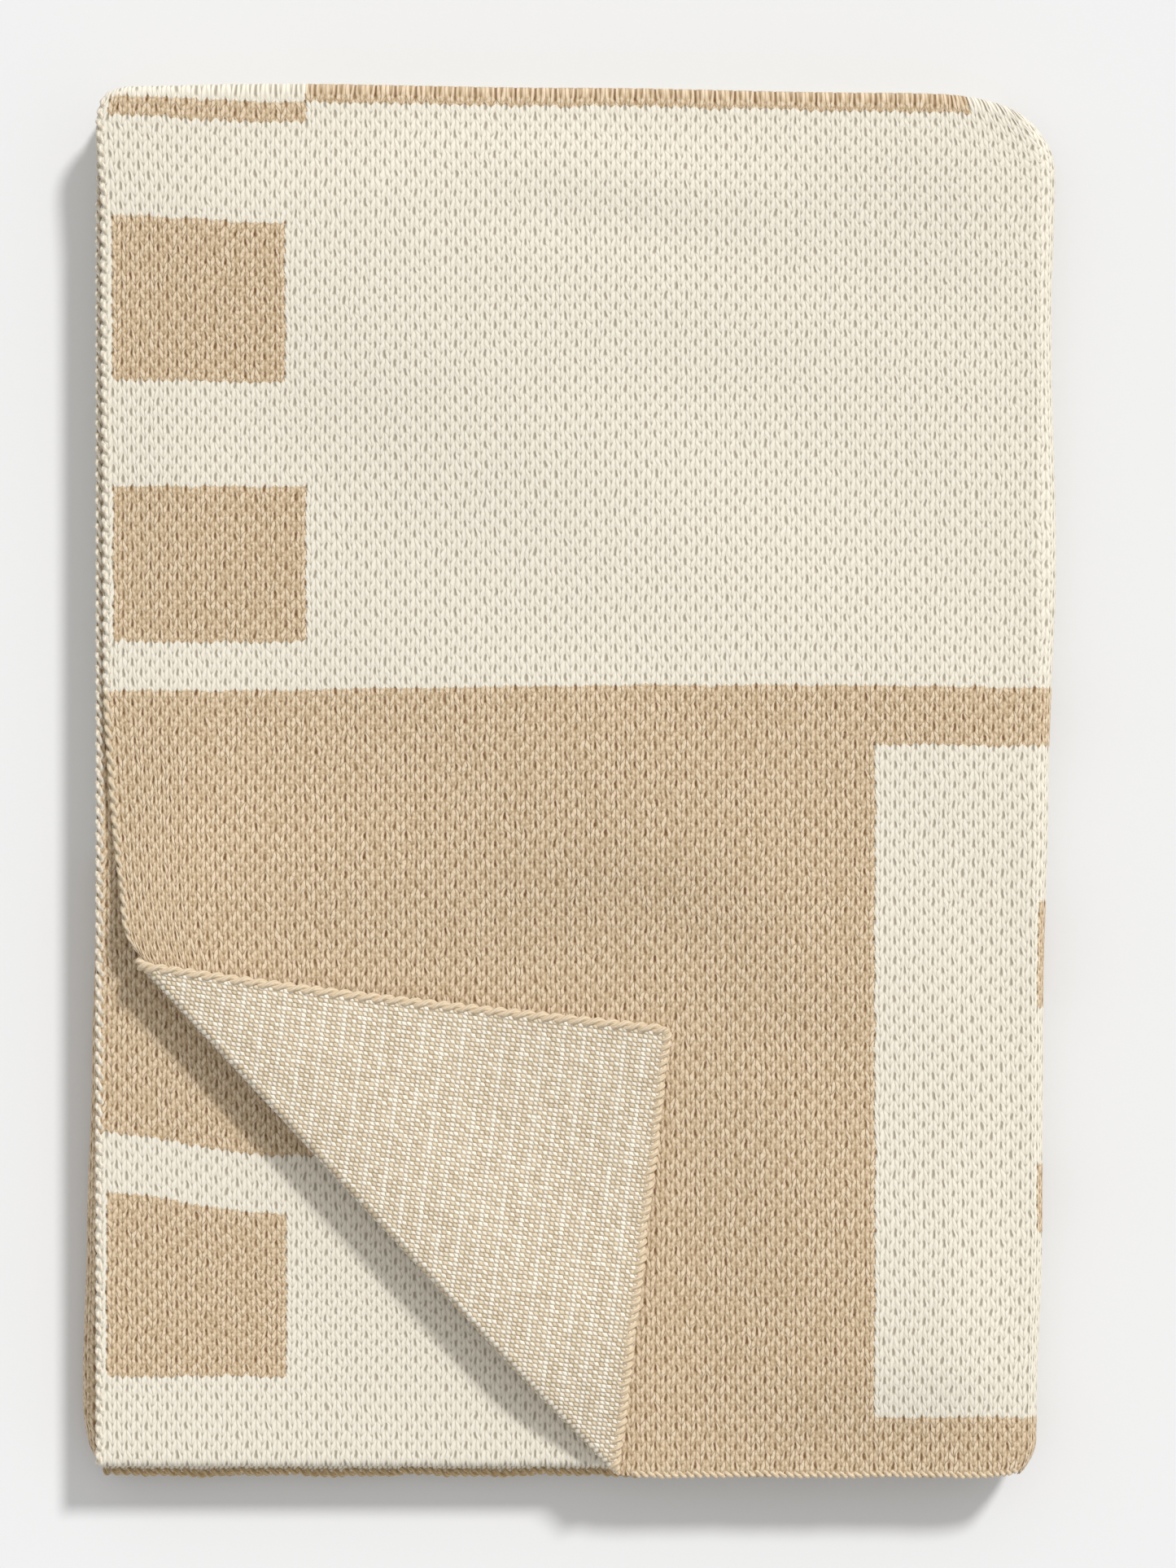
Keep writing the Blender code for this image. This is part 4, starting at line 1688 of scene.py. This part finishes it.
@dataclass
class TurnedCorner:
    """The turned-back corner with its rolled crease and its yarn edges."""

    blanket: Blanket
    blend_half: float = 0.0002

    def from_crease(self, c: Array, v: Array) -> Array:
        """Distance past the crease."""
        return self.blanket.folding.corner.crease_distance(c, self.blanket.plan.cover_hem + v)

    def from_edges(self, c: Array, v: Array) -> Array:
        """Distance from the nearer free edge."""
        return np.minimum(c - self.blanket.plan.cover_left, v)

    def build(self) -> None:
        """Builds the corner's pieces."""
        blanket, plan = self.blanket, self.blanket.plan
        corner, finish = blanket.folding.corner, blanket.finishes.camel_edge
        origin = corner.flat_head - np.array([0.0, plan.cover_hem])
        out = corner.flat_out
        roll_end = origin + out * corner.roll
        head, right, left = float(origin[1]), float(corner.foot[0]), plan.cover_left
        wales, courses = math.ceil((right - left) / plan.wale), math.ceil(head / plan.course)
        columns = span(left, left + wales * plan.wale, plan.wale / 4)
        rows = span(0.0, courses * plan.course, plan.course / 4)
        cloth = partial(
            blanket.cloth, region=Region.COVER, columns=columns, rows=rows, place=corner.place, free=self.from_edges
        )
        cuts = [(origin, -out), (roll_end, out)]
        crease = cloth("corner_crease_knit", cuts=cuts, calm=self.from_crease)
        flap = cloth("corner_knit", cuts=[(roll_end, -out)])
        side = YarnEdge(
            "corner_selvedge_yarn", corner.place, True, left + 0.0012, 0.0005, head - 0.0005, CORNER_CHAIN
        )
        hem = YarnEdge("corner_hem_yarn", corner.place, False, 0.0010, left, right - 0.006, CORNER_HEM)
        side_yarn, hem_yarn = side.build(finish), hem.build(finish)
        for piece, node, slot in (
            (flap, "corner_panel", "knit_reverse"),
            (side_yarn, "corner_selvedge", "selvedge"),
            (hem_yarn, "corner_hem", "hem"),
        ):
            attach(piece, "corner")
            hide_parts(node)
        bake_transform(crease)
        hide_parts("corner_crease")
        width, length = right - left, float(np.linalg.norm(corner.foot - corner.flat_head))


@dataclass
class Studio:
    """Pale floor, one soft key light from beyond the top fold, even fill, and a camera overhead."""

    floor_size: float = 8.0
    floor_drop: float = 0.0003
    floor_color: str = "#E3E3E3"
    key_from: tuple[float, float, float] = (0.43, 0.61, 0.66)
    key_strength: float = 2.46
    key_softness_deg: float = 9.0
    fill_strength: float = 0.64
    lens_mm: float = 100.0
    sensor_mm: float = 36.0
    stand_off: float = 1.923
    aim: tuple[float, float] = (0.0079, -0.0005)

    def build(self) -> None:
        """Builds the floor, the lights and the camera."""
        self.floor()
        self.lights()
        self.camera()

    def floor(self) -> None:
        """Lays the floor: matt paint, pale grey."""
        shape = bmesh.new()
        bmesh.ops.create_grid(shape, x_segments=4, y_segments=4, size=self.floor_size / 2)
        bmesh.ops.translate(shape, verts=shape.verts, vec=(0.0, 0.0, -self.floor_drop))
        mesh = bpy.data.meshes.new("studio_floor")
        shape.to_mesh(mesh)
        shape.free()
        paint = bpy.data.materials.new("matt_studio_floor")
        paint.use_nodes = True
        shader = paint.node_tree.nodes["Principled BSDF"]
        shader.inputs["Base Color"].default_value = srgb(self.floor_color)
        shader.inputs["Roughness"].default_value = 1.0
        shader.inputs["Specular IOR Level"].default_value = 0.0
        mesh.materials.append(paint)
        stand(mesh)

    def lights(self) -> None:
        """Sets the key light and the fill."""
        scene = bpy.context.scene
        sun = bpy.data.lights.new("key_light", "SUN")
        sun.energy = self.key_strength
        sun.angle = math.radians(self.key_softness_deg)
        key = bpy.data.objects.new("key_light", sun)
        key.rotation_euler = Vector(self.key_from).to_track_quat("Z", "Y").to_euler()
        scene.collection.objects.link(key)
        world = bpy.data.worlds.new("studio_fill")
        world.use_nodes = True
        fill = world.node_tree.nodes["Background"]
        fill.inputs["Color"].default_value = (1.0, 1.0, 1.0, 1.0)
        fill.inputs["Strength"].default_value = self.fill_strength
        scene.world = world

    def camera(self) -> None:
        """Hangs the camera over the stack, looking straight down."""
        scene = bpy.context.scene
        lens = bpy.data.cameras.new("overhead_camera")
        lens.lens = self.lens_mm
        lens.sensor_width = self.sensor_mm
        camera = bpy.data.objects.new("overhead_camera", lens)
        stack_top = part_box("cover_upper_panel")[1].z
        camera.location = (*self.aim, stack_top + self.stand_off)
        scene.collection.objects.link(camera)
        scene.camera = camera
        scene.view_settings.view_transform = "Standard"


def main() -> None:
    """Builds the blanket from the base up, then the studio."""
    logging.basicConfig(level=logging.INFO)
    plan = FoldPlan.from_frame()
    settling = Settling(plan)
    folding = Folding(plan, settling, Corner.from_frame(plan, settling))
    relief, skew = Relief(plan.wale, plan.course), Skew(plan.inner_start)
    blanket = Blanket(folding, relief, skew, Finishes.make(plan))
    LOG.info("wale %.4f m, course %.4f m", plan.wale, plan.course)
    PlainGroup(blanket, Region.BASE).build()
    PlainGroup(blanket, Region.MIDDLE).build()
    CoverGroup(blanket).build()
    SideFold(blanket, Region.LEFT_FOLD, "base", "middle").build()
    SideFold(blanket, Region.RIGHT_FOLD, "middle", "cover").build()
    TurnedCorner(blanket).build()
    Studio().build()
    bpy.context.view_layer.update()


if __name__ == "__main__":
    main()
